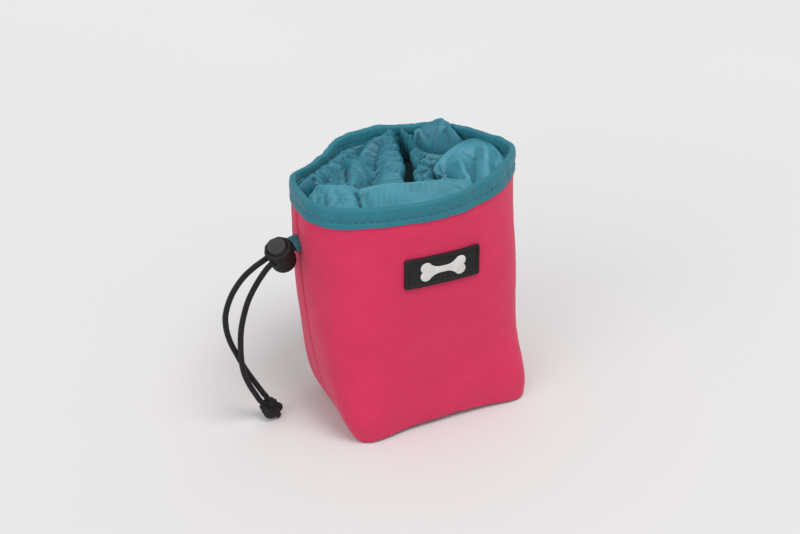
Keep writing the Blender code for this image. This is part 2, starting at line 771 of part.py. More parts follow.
def make_rivets(pieces, steel):
    """Two rivets through the clip's ears, and the holes that they need in every layer."""
    frame = clip_frame()
    turned = frame @ Matrix.Rotation(math.radians(-90), 4, "X")
    tail = -(PATCH + INNER_FACE + BACKING + 5 * GAP)
    for name, side in (("rivet_left", -1), ("rivet_right", 1)):
        head = CLIP_STEEL + GAP
        profile = [
            (RIVET_HEAD - 0.9, tail - 1.2),
            (RIVET_HEAD - 0.4, tail - 0.8),
            (RIVET_HEAD - 0.4, tail - 0.2),
            (RIVET_SHANK, tail - 0.2),
            (RIVET_SHANK, head),
            (RIVET_HEAD, head),
            (RIVET_HEAD - 0.4, head + 0.7),
            (RIVET_HEAD - 1.8, head + 1.1),
        ]
        place = turned @ Matrix.Translation((side * RIVET_SPACING, 0.0, 0.0))
        place.translation *= MM
        rivet = make_turned(name, profile, 16, steel)
        rivet.matrix_basis = place
        hole = make_turned(name + "_hole", [(RIVET_HOLE, -12.0), (RIVET_HOLE, 4.0)], 16, None)
        hole.matrix_basis = place
        for piece in pieces:
            cut(piece, hole)


def build():
    for thing in list(bpy.data.objects):
        bpy.data.objects.remove(thing)
    cloth = make_material("pink_polyester", (0.60, 0.045, 0.12), 0.85)
    lining = make_material("coated_lining", (0.050, 0.052, 0.055), 0.6)
    trim = make_material("teal_nylon", (0.045, 0.165, 0.21), 0.55)
    cord = make_material("black_elastic", (0.018, 0.018, 0.019), 0.8)
    moulding = make_material("black_moulding", (0.03, 0.03, 0.031), 0.5)
    steel = make_material("nickel_steel", (0.62, 0.62, 0.60), 0.3, 1.0)
    rubber = make_material("label_rubber", (0.028, 0.028, 0.029), 0.6)
    print_white = make_material("emblem_white", (0.62, 0.62, 0.62), 0.6)
    front, back, liner = make_shell(cloth, lining, trim)
    make_collar(trim)
    make_mouth(trim)
    make_drawcord(cord)
    make_sleeve(trim, (front, back, liner))
    make_lock(moulding, steel)
    make_knot(cord)
    make_label(rubber, print_white)
    webbing = make_material("black_webbing", (0.02, 0.02, 0.021), 0.9)
    patch = make_back_plate("back_patch", PATCH_SIZE, GAP, GAP + PATCH, webbing)
    inside = -INNER_FACE - 2 * GAP
    backing = make_back_plate("clip_backing", BACKING_SIZE, inside - BACKING, inside, moulding)
    clip = make_clip(steel)
    make_rivets((clip, patch, back, liner, backing), steel)


build()
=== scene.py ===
import math

import bmesh
import bpy
import numpy as np
from mathutils import Matrix, Vector, noise


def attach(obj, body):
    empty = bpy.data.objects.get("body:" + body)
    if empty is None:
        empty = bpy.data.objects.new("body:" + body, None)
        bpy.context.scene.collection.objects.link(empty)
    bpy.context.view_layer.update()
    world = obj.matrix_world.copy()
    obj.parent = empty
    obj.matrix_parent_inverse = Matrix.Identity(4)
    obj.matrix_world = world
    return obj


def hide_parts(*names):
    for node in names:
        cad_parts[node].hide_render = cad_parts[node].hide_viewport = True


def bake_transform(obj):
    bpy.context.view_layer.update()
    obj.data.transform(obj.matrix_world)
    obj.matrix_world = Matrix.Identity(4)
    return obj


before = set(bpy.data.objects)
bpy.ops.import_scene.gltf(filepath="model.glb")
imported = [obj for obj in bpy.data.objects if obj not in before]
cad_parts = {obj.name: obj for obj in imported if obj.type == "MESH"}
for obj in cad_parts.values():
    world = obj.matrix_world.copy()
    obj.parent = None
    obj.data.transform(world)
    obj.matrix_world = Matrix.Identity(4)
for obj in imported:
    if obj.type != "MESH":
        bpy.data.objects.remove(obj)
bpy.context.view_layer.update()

# Everything below is in millimetres, in the frame's own axes, up to the point where a mesh is made.
MM = 0.001

# ---------------------------------------------------------------- sizes that repeat the frame's

# Pouch wall: height, half width, half depth, squareness of the outline, shift to the right.
SECTIONS = (
    (0.0, 46.7, 32.9, 9.0, 0.0),
    (14.0, 51.0, 35.5, 6.5, -1.9),
    (45.0, 53.6, 37.5, 4.2, -4.8),
    (90.0, 56.2, 41.0, 2.9, -5.2),
    (139.0, 57.2, 43.3, 2.1, -3.2),
)
HEIGHT = SECTIONS[-1][0]
RIM_SETBACK = 1.1
MOUTH_CENTRE = Vector((3.0, 6.0, 124.0))
MOUTH_TURN = math.radians(-9.0)
MOUTH_STRAIGHT = 20.0
MOUTH_RADIUS = 7.5
CORD_RADIUS = 1.5
CORD_SPACING = 2.4
LOCK_CENTRE = Vector((-71.8, 0.0, 105.8))
CORD_OUT = Vector((-0.928, -0.100, -0.360)).normalized()
BARREL_UP = Vector((-0.320, -0.283, 0.904))
CORD_BEND = 50.0
CORD_SPLIT = -12.0
LOCK_BORE = 5.05
LOCK_BOTTOM = -9.5
LOCK_TOP = 4.6
BUTTON_RADIUS = 4.75
BUTTON_TOP = 7.0
BUTTON_TRAVEL = 2.2
CORD_HOLE = 2.15
SPRING_RADIUS = 3.2
SPRING_WIRE = 0.25
SPRING_TURNS = 2.0
PLUNGER_FOOT = -3.4
SLEEVE_OUTER_END = -7.3
SLEEVE_INNER_END = -16.5
SLEEVE_SIDE = 5.2
SLEEVE_RISE = 2.1
KNOT_CENTRE = Vector((-81.8, 12.4, 5.6))
STRAND_ROUTES = {
    "drawcord_strand_back": (
        (-85.5, 1.6, 100.1), (-92.2, 1.5, 95.4), (-98.4, 1.6, 87.6), (-102.0, 3.0, 77.4),
        (-102.5, 4.2, 68.3), (-100.8, 5.8, 58.0), (-97.3, 7.6, 47.2), (-93.6, 9.0, 37.0),
        (-89.0, 10.6, 26.5), (-84.6, 11.8, 17.0), (-82.6, 12.2, 12.6),
    ),
    "drawcord_strand_front": (
        (-81.8, -2.4, 98.2), (-87.0, -2.0, 91.2), (-90.9, -0.6, 83.1), (-93.5, 0.9, 74.3),
        (-95.3, 2.4, 65.1), (-96.1, 3.6, 55.6), (-96.2, 4.8, 45.6), (-95.2, 6.0, 36.3),
        (-92.6, 7.6, 27.2), (-89.2, 9.4, 18.8), (-86.2, 10.9, 12.3),
    ),
}
LABEL_CENTRE = (-1.5, 99.6)
LABEL_SIZE = (41.0, 17.0)
LABEL_TURN = math.radians(-2.6)
LABEL = 1.6
BACK_CENTRE = (-5.2, 84.0)
PATCH_SIZE = (42.0, 60.0)
PATCH = 1.2
GAP = 0.3
CLIP_STEEL = 1.0
CLIP_HALF = 10.0
CLIP_REACH = 23.0
CLIP_BEND = 3.8
RIVET_SPACING = 13.6
RIVET_HEAD = 3.5

# ---------------------------------------------------------------- sizes of the looks

PANEL = 1.2
FLOOR = 0.8
LINER_INSET = 1.5
LINER = 0.5
NYLON = 0.3
WALL_FOOT = 1.2
BINDING_LOW = 127.5
BINDING_INNER_LOW = 130.2
BINDING_OUT = 0.7
BINDING_IN = 2.4
BINDING_LAP = (1.62, 1.80)
STITCH_HEIGHT = 131.7
STITCH_PITCH = 3.8
PLEAT_PITCH = 4.6
PLEAT_RISE = 3.3
PLEAT_SWING = 2.0
PEAK_BEARING = 43.0
PEAK_SPREAD = 17.0
LIP_UNDERSIDE = 119.4
CREST_UNDERSIDE = 125.6
LABEL_CORNER = 1.3
LABEL_STITCH_INSET = 2.35
LABEL_STITCH_PITCH = 2.3
PATCH_STITCH_INSET = 3.0


# ---------------------------------------------------------------- small tools


def smooth(low, high, value):
    """0 below low, 1 above high, and a smooth step between them."""
    t = min(1.0, max(0.0, (value - low) / (high - low)))
    return t * t * (3 - 2 * t)


def bump(value, centre, width):
    return math.exp(-(((value - centre) / width) ** 2))


def turn_bump(angle, centre_deg, width_deg, power=2):
    away = math.remainder(angle - math.radians(centre_deg), 2 * math.pi)
    return math.exp(-(abs(away / math.radians(width_deg)) ** power))


def link(name, data):
    thing = bpy.data.objects.new(name, data)
    bpy.context.scene.collection.objects.link(thing)
    return thing


def make_mesh(name, points, faces, material, face_uvs=None, sharp=50.0):
    """A mesh object from points in millimetres. face_uvs lists, for each face, its corners' (u, v)."""
    mesh = bpy.data.meshes.new(name)
    mesh.from_pydata([tuple(point * MM) for point in points], [], faces)
    if face_uvs:
        layer = mesh.uv_layers.new(name="cloth")
        flat = [value for corners in face_uvs for corner in corners for value in corner]
        layer.data.foreach_set("uv", flat)
    shape = bmesh.new()
    shape.from_mesh(mesh)
    bmesh.ops.recalc_face_normals(shape, faces=shape.faces)
    shape.to_mesh(mesh)
    shape.free()
    mesh.shade_smooth()
    mesh.set_sharp_from_angle(angle=math.radians(sharp))
    thing = link(name, mesh)
    thing.data.materials.append(material)
    return thing


def make_grid(name, rows, us, vs, material, loop_rows=False, loop_columns=False, caps=False):
    """A surface through rows of points. us and vs are the cloth's own lengths in millimetres."""
    count, columns = len(rows), len(rows[0])
    faces, uvs = [], []
    for row in range(count if loop_rows else count - 1):
        for column in range(columns if loop_columns else columns - 1):
            here, ahead = row * columns, (row + 1) % count * columns
            beside = (column + 1) % columns
            faces.append((here + column, here + beside, ahead + beside, ahead + column))
            corners = ((column, row), (column + 1, row), (column + 1, row + 1), (column, row + 1))
            uvs.append([(us[i] * MM, vs[j] * MM) for i, j in corners])
    if caps:
        for ring in (0, count - 1):
            faces.append(tuple(range(ring * columns, ring * columns + columns)))
            uvs.append([(us[i] * MM, vs[ring] * MM) for i in range(columns)])
    return make_mesh(name, [p for row in rows for p in row], faces, material, uvs)


def reached(points):
    """How far along a line of points each one is."""
    total = [0.0]
    for here, there in zip(points, points[1:]):
        total.append(total[-1] + (there - here).length)
    return total


def walk(lengths, count):
    """Evenly spaced places on a line, each as the step it falls in, its share of that step and its length."""
    found, step = [], 0
    for i in range(count):
        wanted = lengths[-1] * i / (count - 1)
        while step < len(lengths) - 2 and lengths[step + 1] < wanted:
            step += 1
        part = (wanted - lengths[step]) / max(lengths[step + 1] - lengths[step], 1e-9)
        found.append((step, min(1.0, max(0.0, part)), wanted))
    return found


def curve_through(knots, steps):
    """A Catmull-Rom curve as (point, knot before it, share of the way to the next knot)."""
    ends = [2 * knots[0] - knots[1], *knots, 2 * knots[-1] - knots[-2]]
    curve = []
    for knot, (a, b, c, d) in enumerate(zip(ends, ends[1:], ends[2:], ends[3:])):
        for i in range(steps):
            t = i / steps
            bend = (2 * a - 5 * b + 4 * c - d) * t * t + (3 * b - a - 3 * c + d) * t**3
            curve.append((0.5 * (2 * b + (c - a) * t + bend), knot, t))
    curve.append((knots[-1], len(knots) - 2, 1.0))
    return curve


def smooth_route(knots, count):
    """count points, evenly spaced, on a smooth curve through the knots."""
    points = [point for point, _, _ in curve_through(knots, 20)]
    return [points[step].lerp(points[step + 1], part) for step, part, _ in walk(reached(points), count)]


def frames_along(route):
    """A steady pair of side directions at each point of a route."""
    side = Vector((0.0, 0.0, 1.0)).cross(route[1] - route[0])
    side = side.normalized() if side.length > 1e-6 else Vector((1.0, 0.0, 0.0))
    frames = []
    for i, point in enumerate(route):
        along = (route[min(i + 1, len(route) - 1)] - route[max(i - 1, 0)]).normalized()
        side = (side - along * side.dot(along)).normalized()
        frames.append((point, side, along.cross(side)))
    return frames


def make_tube(name, route, material, sides=20, radius=CORD_RADIUS, braid=0.05, caps=True):
    """A round cord whose sleeve is braided in relief."""
    lengths = reached(route)
    rows = []
    for (point, side, rise), length in zip(frames_along(route), lengths):
        row = []
        for k in range(sides):
            turn = 2 * math.pi * k / sides
            weave = math.sin(4 * turn + length * 2.4) * math.sin(4 * turn - length * 2.4)
            out = radius * (1 + braid * weave)
            row.append(point + side * out * math.cos(turn) + rise * out * math.sin(turn))
        rows.append(row)
    us = [2 * math.pi * radius * k / sides for k in range(sides + 1)]
    return make_grid(name, rows, us, lengths, material, loop_columns=True, caps=caps)


def make_turned(name, profile, sides, material, place, sharp=40.0):
    """A turned piece about its own Z axis, set at a matrix in millimetres."""
    rows = []
    for radius, height in profile:
        turns = [2 * math.pi * k / sides for k in range(sides)]
        rows.append([Vector((radius * math.cos(t), radius * math.sin(t), height)) for t in turns])
    rows = [[place @ point for point in row] for row in rows]
    us = [profile[0][0] * 2 * math.pi * k / sides for k in range(sides + 1)]
    vs = [height for _, height in profile]
    thing = make_grid(name, rows, us, vs, material, loop_columns=True, caps=True)
    thing.data.set_sharp_from_angle(angle=math.radians(sharp))
    return thing


def make_final(thing):
    """Makes what a piece's modifiers do final."""
    bpy.context.view_layer.update()
    shown = thing.evaluated_get(bpy.context.evaluated_depsgraph_get())
    mesh = bpy.data.meshes.new_from_object(shown)
    thing.modifiers.clear()
    thing.data = mesh


def cut(target, cutter):
    """Takes a cutter away from a piece for good."""
    boolean = target.modifiers.new("cut", "BOOLEAN")
    boolean.operation = "DIFFERENCE"
    boolean.solver = "EXACT"
    boolean.object = cutter
    make_final(target)
    bpy.data.objects.remove(cutter)


def thicken(thing, depth):
    solid = thing.modifiers.new("thickness", "SOLIDIFY")
    solid.thickness = depth * MM
    solid.offset = -1.0
    solid.use_even_offset = False
    return thing


def join_pieces(name, pieces):
    """One object from several meshes."""
    mesh = bpy.data.meshes.new(name)
    shape = bmesh.new()
    for piece in pieces:
        shape.from_mesh(piece.data)
    shape.to_mesh(mesh)
    shape.free()
    for material in pieces[0].data.materials:
        mesh.materials.append(material)
    for piece in pieces:
        bpy.data.objects.remove(piece)
    return link(name, mesh)


def make_stitches(name, places, length, radius, material):
    """Thread stitches, each a small spindle. A place is (point, direction, outward normal)."""
    points, faces = [], []
    sides, stations = 6, (-1.0, -0.8, -0.4, 0.0, 0.4, 0.8, 1.0)
    for middle, along, out in places:
        across = along.cross(out).normalized()
        first = len(points)
        for station in stations:
            thick = radius * math.sqrt(max(0.06, 1 - station**4))
            sunk = middle + along * (station * length / 2) + out * (radius * (0.5 - 0.9 * station**2))
            for k in range(sides):
                turn = 2 * math.pi * k / sides
                points.append(sunk + across * thick * math.cos(turn) + out * thick * math.sin(turn))
        for ring in range(len(stations) - 1):
            for k in range(sides):
                a, b = first + ring * sides + k, first + ring * sides + (k + 1) % sides
                faces.append((a, b, b + sides, a + sides))
        last = first + (len(stations) - 1) * sides
        faces += [tuple(range(start, start + sides)) for start in (first, last)]
    return make_mesh(name, points, faces, material)


def stitch_box(name, half_width, half_height, counts, point_at, outward, length, radius, material):
    """A box of stitches on a face, where point_at gives the point across and up from its middle."""
    wide, tall = counts
    box = []
    for sign in (-1, 1):
        box += [(half_width * (2 * (i + 0.5) / wide - 1), sign * half_height, 0.3, 0) for i in range(wide)]
        box += [(sign * half_width, half_height * (2 * (i + 0.5) / tall - 1), 0, 0.3) for i in range(tall)]
    places = []
    for u, v, along_u, along_v in box:
        middle = point_at(u, v)
        ahead = point_at(u + along_u, v + along_v)
        places.append((middle, (ahead - middle).normalized(), outward))
    return make_stitches(name, places, length, radius, material)


def rounded_box(u, v, half_width, half_height, radius):
    """How far inside a rounded rectangle a point is."""
    x, y = abs(u) - half_width + radius, abs(v) - half_height + radius
    outside = math.hypot(max(x, 0.0), max(y, 0.0)) + min(max(x, y), 0.0)
    return radius - outside


def make_tile(name, size, lattice, corner, point_at, material):
    """A flat piece with round corners, where point_at takes (across, up, distance in from the edge)."""
    (half_width, half_height), (columns, lines) = (side / 2 for side in size), lattice
    us = [size[0] * i / columns for i in range(columns + 1)]
    vs = [size[1] * j / lines for j in range(lines + 1)]
    rows = []
    for v in (half_height * (2 * j / lines - 1) for j in range(lines + 1)):
        across = [half_width * (2 * i / columns - 1) for i in range(columns + 1)]
        rows.append([point_at(u, v, rounded_box(u, v, half_width, half_height, corner)) for u in across])
    return make_grid(name, rows, us, vs, material)


# ---------------------------------------------------------------- materials


class Recipe:
    """A material's node tree, written as short calls."""

    def __init__(self, name, roughness, specular=0.5, metallic=0.0, sheen=0.0, sheen_rough=0.5):
        self.material = bpy.data.materials.new(name)
        self.material.use_nodes = True
        self.tree = self.material.node_tree
        self.shader = self.tree.nodes["Principled BSDF"]
        self.roughness = roughness
        self.set(
            self.shader,
            {
                "Roughness": roughness,
                "Specular IOR Level": specular,
                "Metallic": metallic,
                "Sheen Weight": sheen,
                "Sheen Roughness": sheen_rough,
            },
        )

    def set(self, node, values):
        for socket, value in values.items():
            node.inputs[socket].default_value = value

    def node(self, kind, **values):
        made = self.tree.nodes.new(kind)
        for key, value in values.items():
            setattr(made, key, value)
        return made

    def join(self, output, socket):
        self.tree.links.new(output, socket)

    def cloth_uv(self):
        return self.node("ShaderNodeUVMap", uv_map="cloth").outputs["UV"]

    def object_place(self):
        return self.node("ShaderNodeTexCoord").outputs["Object"]

    def pointiness(self):
        return self.node("ShaderNodeNewGeometry").outputs["Pointiness"]

    def scaled(self, vector, scale):
        mapping = self.node("ShaderNodeMapping")
        self.set(mapping, {"Scale": scale})
        self.join(vector, mapping.inputs["Vector"])
        return mapping.outputs["Vector"]

    def noise(self, vector, scale, detail=3.0, rough=0.55, distortion=0.0):
        texture = self.node("ShaderNodeTexNoise")
        self.set(texture, {"Scale": scale, "Detail": detail, "Roughness": rough, "Distortion": distortion})
        self.join(vector, texture.inputs["Vector"])
        return texture.outputs["Fac"]

    def wave(self, vector, direction, pitch):
        """Ribs across a direction, one every pitch millimetres."""
        texture = self.node("ShaderNodeTexWave", wave_type="BANDS", bands_direction=direction)
        self.set(texture, {"Scale": math.pi / 10 / (pitch * MM), "Distortion": 0.0, "Detail": 0.0})
        self.join(vector, texture.inputs["Vector"])
        return texture.outputs["Fac"]

    def math(self, operation, first, second):
        made = self.node("ShaderNodeMath", operation=operation)
        for socket, value in zip(made.inputs, (first, second)):
            if isinstance(value, (int, float)):
                socket.default_value = value
            else:
                self.join(value, socket)
        return made.outputs[0]

    def total(self, *shares):
        """The sum of (value, weight) pairs."""
        parts = [self.math("MULTIPLY", value, weight) for value, weight in shares]
        result = parts[0]
        for part in parts[1:]:
            result = self.math("ADD", result, part)
        return result

    def clamped(self, value, low, high):
        return self.math("MINIMUM", self.math("MAXIMUM", value, low), high)

    def colours(self, factor, stops):
        """A colour ramp of (place, (r, g, b)) stops."""
        ramp = self.node("ShaderNodeValToRGB")
        elements = ramp.color_ramp.elements
        while len(elements) < len(stops):
            elements.new(0.5)
        for element, (place, colour) in zip(elements, stops):
            element.position = place
            element.color = (*colour, 1.0)
        self.join(factor, ramp.inputs["Fac"])
        return ramp.outputs["Color"]

    def mixed(self, factor, first, colour):
        """A colour mixed towards a constant one."""
        mix = self.node("ShaderNodeMix", data_type="RGBA")
        self.join(factor, mix.inputs[0])
        self.join(first, mix.inputs[6])
        mix.inputs[7].default_value = (*colour, 1.0)
        return mix.outputs[2]

    def paint(self, colour, uneven=None, less=0.08, more=0.08):
        """The colour and, by a 0 to 1 value, how far the roughness goes under and over its level."""
        self.join(colour, self.shader.inputs["Base Color"])
        if uneven is not None:
            spread = self.math("MULTIPLY", uneven, less + more)
            self.join(self.math("ADD", spread, self.roughness - less), self.shader.inputs["Roughness"])

    def relief(self, *layers):
        """Bump layers of (height, strength, distance in millimetres)."""
        normal = None
        for height, strength, distance in layers:
            made = self.node("ShaderNodeBump")
            self.set(made, {"Strength": strength, "Distance": distance * MM})
            self.join(height, made.inputs["Height"])
            if normal is not None:
                self.join(normal, made.inputs["Normal"])
            normal = made.outputs["Normal"]
        self.join(normal, self.shader.inputs["Normal"])


def woven(name, dark, light, pitch, roughness, sheen, bump_depth=0.10, specular=0.3):
    """A plain weave: threads both ways, slubs, and a soft mottle over larger patches."""
    recipe = Recipe(name, roughness, specular=specular, sheen=sheen, sheen_rough=0.4)
    uv, place = recipe.cloth_uv(), recipe.object_place()
    threads = recipe.math("MULTIPLY", recipe.wave(uv, "X", pitch), recipe.wave(uv, "Y", pitch))
    weave = recipe.total((threads, 1.0), (recipe.wave(uv, "DIAGONAL", pitch * 1.41), 0.35))
    slub = recipe.noise(recipe.scaled(uv, (260.0, 900.0, 1.0)), 1.0, 2.0)
    patches = recipe.noise(place, 70.0, 4.0)
    grain = recipe.noise(place, 900.0, 2.0, 0.7)
    shade = recipe.total((patches, 0.45), (slub, 0.25), (grain, 0.30), (weave, 0.22))
    middle = tuple((a + b) / 2 for a, b in zip(dark, light))
    recipe.paint(recipe.colours(shade, ((0.25, dark), (0.58, middle), (0.90, light))), grain)
    recipe.relief((patches, 0.25, 0.30), (weave, 0.75, bump_depth), (grain, 0.35, 0.05))
    return recipe.material


def taffeta(name, dark, light):
    """Thin nylon: a fine, tight weave with a satin gloss, small creases, painted shade in its hollows and a
    painted highlight on its ridges.
    """
    recipe = Recipe(name, 0.48, specular=0.42, sheen=0.15, sheen_rough=0.3)
    uv, place = recipe.cloth_uv(), recipe.object_place()
    weave = recipe.math("MULTIPLY", recipe.wave(uv, "X", 0.42), recipe.wave(uv, "Y", 0.42))
    creases = recipe.noise(place, 150.0, 3.0, 0.5, 0.8)
    patches = recipe.noise(place, 45.0, 3.0)
    # Painted shade and highlight: by the mesh's pointiness the colour darkens in creases and hollows and
    # lightens a little on ridges.
    painted_crease_shade = recipe.math("MULTIPLY", recipe.math("SUBTRACT", recipe.pointiness(), 0.5), 9.5)
    shade = recipe.total((patches, 0.7), (weave, 0.25), (recipe.clamped(painted_crease_shade, -0.6, 0.22), 1.0))
    # The painted shade colour for the deepest creases.
    painted_shade_colour = tuple(value * 0.3 for value in dark)
    recipe.paint(recipe.colours(shade, ((0.0, painted_shade_colour), (0.27, dark), (0.78, light))), patches, less=0.06)
    recipe.relief((creases, 0.5, 0.35), (weave, 0.35, 0.04))
    return recipe.material


def ribbed(name, dark, light, pitch=0.8, roughness=0.62):
    """Ribbon or webbing: ribs across its length, over a finer thread."""
    recipe = Recipe(name, roughness, specular=0.3, sheen=0.1, sheen_rough=0.4)
    uv, place = recipe.cloth_uv(), recipe.object_place()
    ribs = recipe.wave(uv, "X", pitch)
    thread = recipe.wave(uv, "Y", pitch * 0.5)
    patches = recipe.noise(place, 90.0, 4.0)
    grain = recipe.noise(place, 1100.0, 2.0, 0.7)
    shade = recipe.total((patches, 0.45), (grain, 0.3), (ribs, 0.18))
    recipe.paint(recipe.colours(shade, ((0.25, dark), (0.80, light))), grain)
    recipe.relief((patches, 0.2, 0.25), (ribs, 0.6, 0.09), (thread, 0.4, 0.05))
    return recipe.material


def moulded(name, dark, light, worn, roughness, grain_size=700.0, grain_depth=0.03):
    """Moulded plastic or rubber: a fine spark grain, and edges rubbed a little lighter."""
    recipe = Recipe(name, roughness, specular=0.25)
    place = recipe.object_place()
    grain = recipe.noise(place, grain_size, 3.0, 0.6)
    base = recipe.colours(recipe.noise(place, 120.0, 3.0), ((0.3, dark), (0.7, light)))
    wear = recipe.math("MULTIPLY", recipe.math("SUBTRACT", recipe.pointiness(), 0.53), 9.0)
    wear = recipe.math("MULTIPLY", wear, recipe.noise(place, 260.0, 3.0))
    recipe.paint(recipe.mixed(recipe.clamped(wear, 0.0, 0.8), base, worn), grain, 0.1, 0.1)
    recipe.relief((grain, 0.5, grain_depth))
    return recipe.material


def metal(name, dark, light, roughness):
    """Nickel-plated spring steel with fine rolling marks and faint smudges."""
    recipe = Recipe(name, roughness, metallic=1.0)
    place = recipe.object_place()
    marks = recipe.noise(recipe.scaled(place, (2600.0, 2600.0, 90.0)), 1.0, 2.0)
    smudge = recipe.noise(place, 110.0, 4.0)
    uneven = recipe.total((marks, 0.5), (smudge, 0.5))
    recipe.paint(recipe.colours(smudge, ((0.3, dark), (0.7, light))), uneven, more=0.2)
    recipe.relief((marks, 0.25, 0.02), (smudge, 0.1, 0.05))
    return recipe.material


def plain_thread(name, colour):
    """Twisted sewing thread."""
    recipe = Recipe(name, 0.6, specular=0.4, sheen=0.2)
    twist = recipe.noise(recipe.object_place(), 1500.0, 2.0)
    darker = tuple(value * 0.7 for value in colour)
    recipe.paint(recipe.colours(twist, ((0.3, darker), (0.7, colour))))
    recipe.relief((twist, 0.6, 0.05))
    return recipe.material


PINK = woven("pink_polyester", (0.520, 0.018, 0.074), (0.680, 0.034, 0.110), 0.85, 0.80, 0.12)
# The collar's one cloth in two copies with painted light: teal_taffeta is the darker copy, painted shade for
# the sides and the back, and the copy after it is the lighter one, painted light for the front puff.
TEAL = taffeta("teal_taffeta", (0.014, 0.126, 0.180), (0.033, 0.205, 0.275))
TEAL_PAINTED_LIT = taffeta("teal_taffeta_painted_lit", (0.031, 0.190, 0.254), (0.064, 0.288, 0.370))
TEAL_SLEEVE = taffeta("teal_sleeve", (0.008, 0.075, 0.095), (0.014, 0.110, 0.140))
TEAL_RIBBON = ribbed("teal_ribbon", (0.013, 0.140, 0.188), (0.026, 0.198, 0.256), 0.7)
CORD = woven("black_elastic", (0.005, 0.005, 0.006), (0.021, 0.021, 0.022), 0.75, 0.80, 0.10, 0.16, 0.2)
WEBBING = ribbed("black_webbing", (0.010, 0.010, 0.011), (0.036, 0.036, 0.038), 1.3, 0.8)
BLACK_PLASTIC = moulded(
    "black_moulding", (0.007, 0.007, 0.006), (0.013, 0.013, 0.012), (0.045, 0.045, 0.045), 0.6
)
GREY_PLASTIC = moulded(
    "button_moulding", (0.034, 0.033, 0.033), (0.052, 0.050, 0.051), (0.11, 0.11, 0.11), 0.62
)
RUBBER = moulded(
    "label_rubber", (0.010, 0.009, 0.009), (0.017, 0.016, 0.015), (0.05, 0.05, 0.05), 0.72, 900.0
)
PRINT = moulded(
    "emblem_print", (0.54, 0.53, 0.52), (0.68, 0.67, 0.66), (0.8, 0.8, 0.8), 0.6, 1400.0, 0.015
)
STEEL = metal("nickel_steel", (0.48, 0.47, 0.45), (0.66, 0.65, 0.63), 0.3)
TEAL_THREAD = plain_thread("teal_thread", (0.012, 0.080, 0.104))
BLACK_THREAD = plain_thread("black_thread", (0.012, 0.012, 0.013))
PINK_THREAD = plain_thread("pink_thread", (0.42, 0.02, 0.07))
LINING = woven("coated_lining", (0.030, 0.046, 0.056), (0.060, 0.086, 0.100), 0.6, 0.55, 0.1)
# Painted glow: a faint emission on the lining that stands in for the little light the cloth round it throws
# into the pouch.
LINING_SHADER = LINING.node_tree.nodes["Principled BSDF"]
LINING_SHADER.inputs["Emission Color"].default_value = (0.35, 0.62, 0.80, 1.0)
LINING_SHADER.inputs["Emission Strength"].default_value = 0.018


# ---------------------------------------------------------------- the pouch's shape


def section_slope(knot, column):
    low = SECTIONS[max(knot - 1, 0)]
    high = SECTIONS[min(knot + 1, len(SECTIONS) - 1)]
    return (high[column] - low[column]) / (high[0] - low[0])


def section_at(z):
    """Half width, half depth, squareness and shift at a height, on a smooth curve."""
    knot = 0
    while knot < len(SECTIONS) - 2 and z > SECTIONS[knot + 1][0]:
        knot += 1
    low, high = SECTIONS[knot], SECTIONS[knot + 1]
    span = high[0] - low[0]
    t = (z - low[0]) / span
    values = []
    for column in range(1, 5):
        value = low[column] * (1 + 2 * t) * (1 - t) ** 2 + high[column] * t * t * (3 - 2 * t)
        value += span * section_slope(knot, column) * t * (1 - t) ** 2
        value += span * section_slope(knot + 1, column) * t * t * (t - 1)
        values.append(value)
    return values


def wall_point(angle, z, section=None):
    """The outer face's point in a direction from the middle, and its outward normal."""
    half_width, half_depth, power, shift = section or section_at(z)
    across, along = math.cos(angle), math.sin(angle)
    reach = abs(across / half_width) ** power + abs(along / half_depth) ** power
    reach **= -1 / power
    x, y = reach * across, reach * along
    normal = Vector(
        (
            math.copysign(abs(x / half_width) ** (power - 1) / half_width, x),
            math.copysign(abs(y / half_depth) ** (power - 1) / half_depth, y),
            0.0,
        )
    )
    return Vector((x + shift, y + RIM_SETBACK * z / HEIGHT, z)), normal.normalized()


def face_point(x, z, side, outset):
    """A point that stands off the front (side -1) or the back (side 1) of the pouch."""
    half_width, half_depth, power, shift = section_at(z)
    reach = (1 - abs((x - shift) / half_width) ** power) ** (1 / power)
    return Vector((x, side * (half_depth * reach + outset) + RIM_SETBACK * z / HEIGHT, z))


def mouth_point(across, along, z=MOUTH_CENTRE.z):
    """A point in the mouth's own directions: across its slot, and along it to the back."""
    point = Vector((across, along, 0.0))
    point.rotate(Matrix.Rotation(MOUTH_TURN, 3, "Z"))
    return Vector((MOUTH_CENTRE.x + point.x, MOUTH_CENTRE.y + point.y, z))


def outline_angles(z, start, stop, columns):
    """Directions from start to stop, evenly spaced along the outline at a height, and its length."""
    fine = 240
    section = section_at(z)
    turns = [start + (stop - start) * i / fine for i in range(fine + 1)]
    lengths = reached([wall_point(turn, z, section)[0] for turn in turns])
    spaced = walk(lengths, columns + 1)
    return [turns[k] + (turns[k + 1] - turns[k]) * part for k, part, _ in spaced], lengths[-1]


# How the worn pouch leaves the plain shell, round the rim and at the base's corners: each is a
# direction, a spread in degrees and a depth. Pushes go in, dips go down and bulges go out.
RIM_PUSHES = (
    (141.0, 19.0, 5.6), (21.0, 21.0, 4.6), (60.0, 18.0, 1.7), (-42.0, 24.0, 2.3),
    (-158.0, 15.0, -1.6), (-118.0, 20.0, 0.8), (-6.0, 12.0, -1.1),
)
RIM_DIPS = ((141.0, 19.0, 1.6), (22.0, 21.0, 0.4), (60.0, 18.0, 0.6), (95.0, 16.0, -0.4))
CORNER_BULGES = ((-145.0, 15.0, 2.6), (-34.0, 12.0, 2.2))


def worn(table, angle, power):
    return sum(depth * turn_bump(angle, place, width, power) for place, width, depth in table)


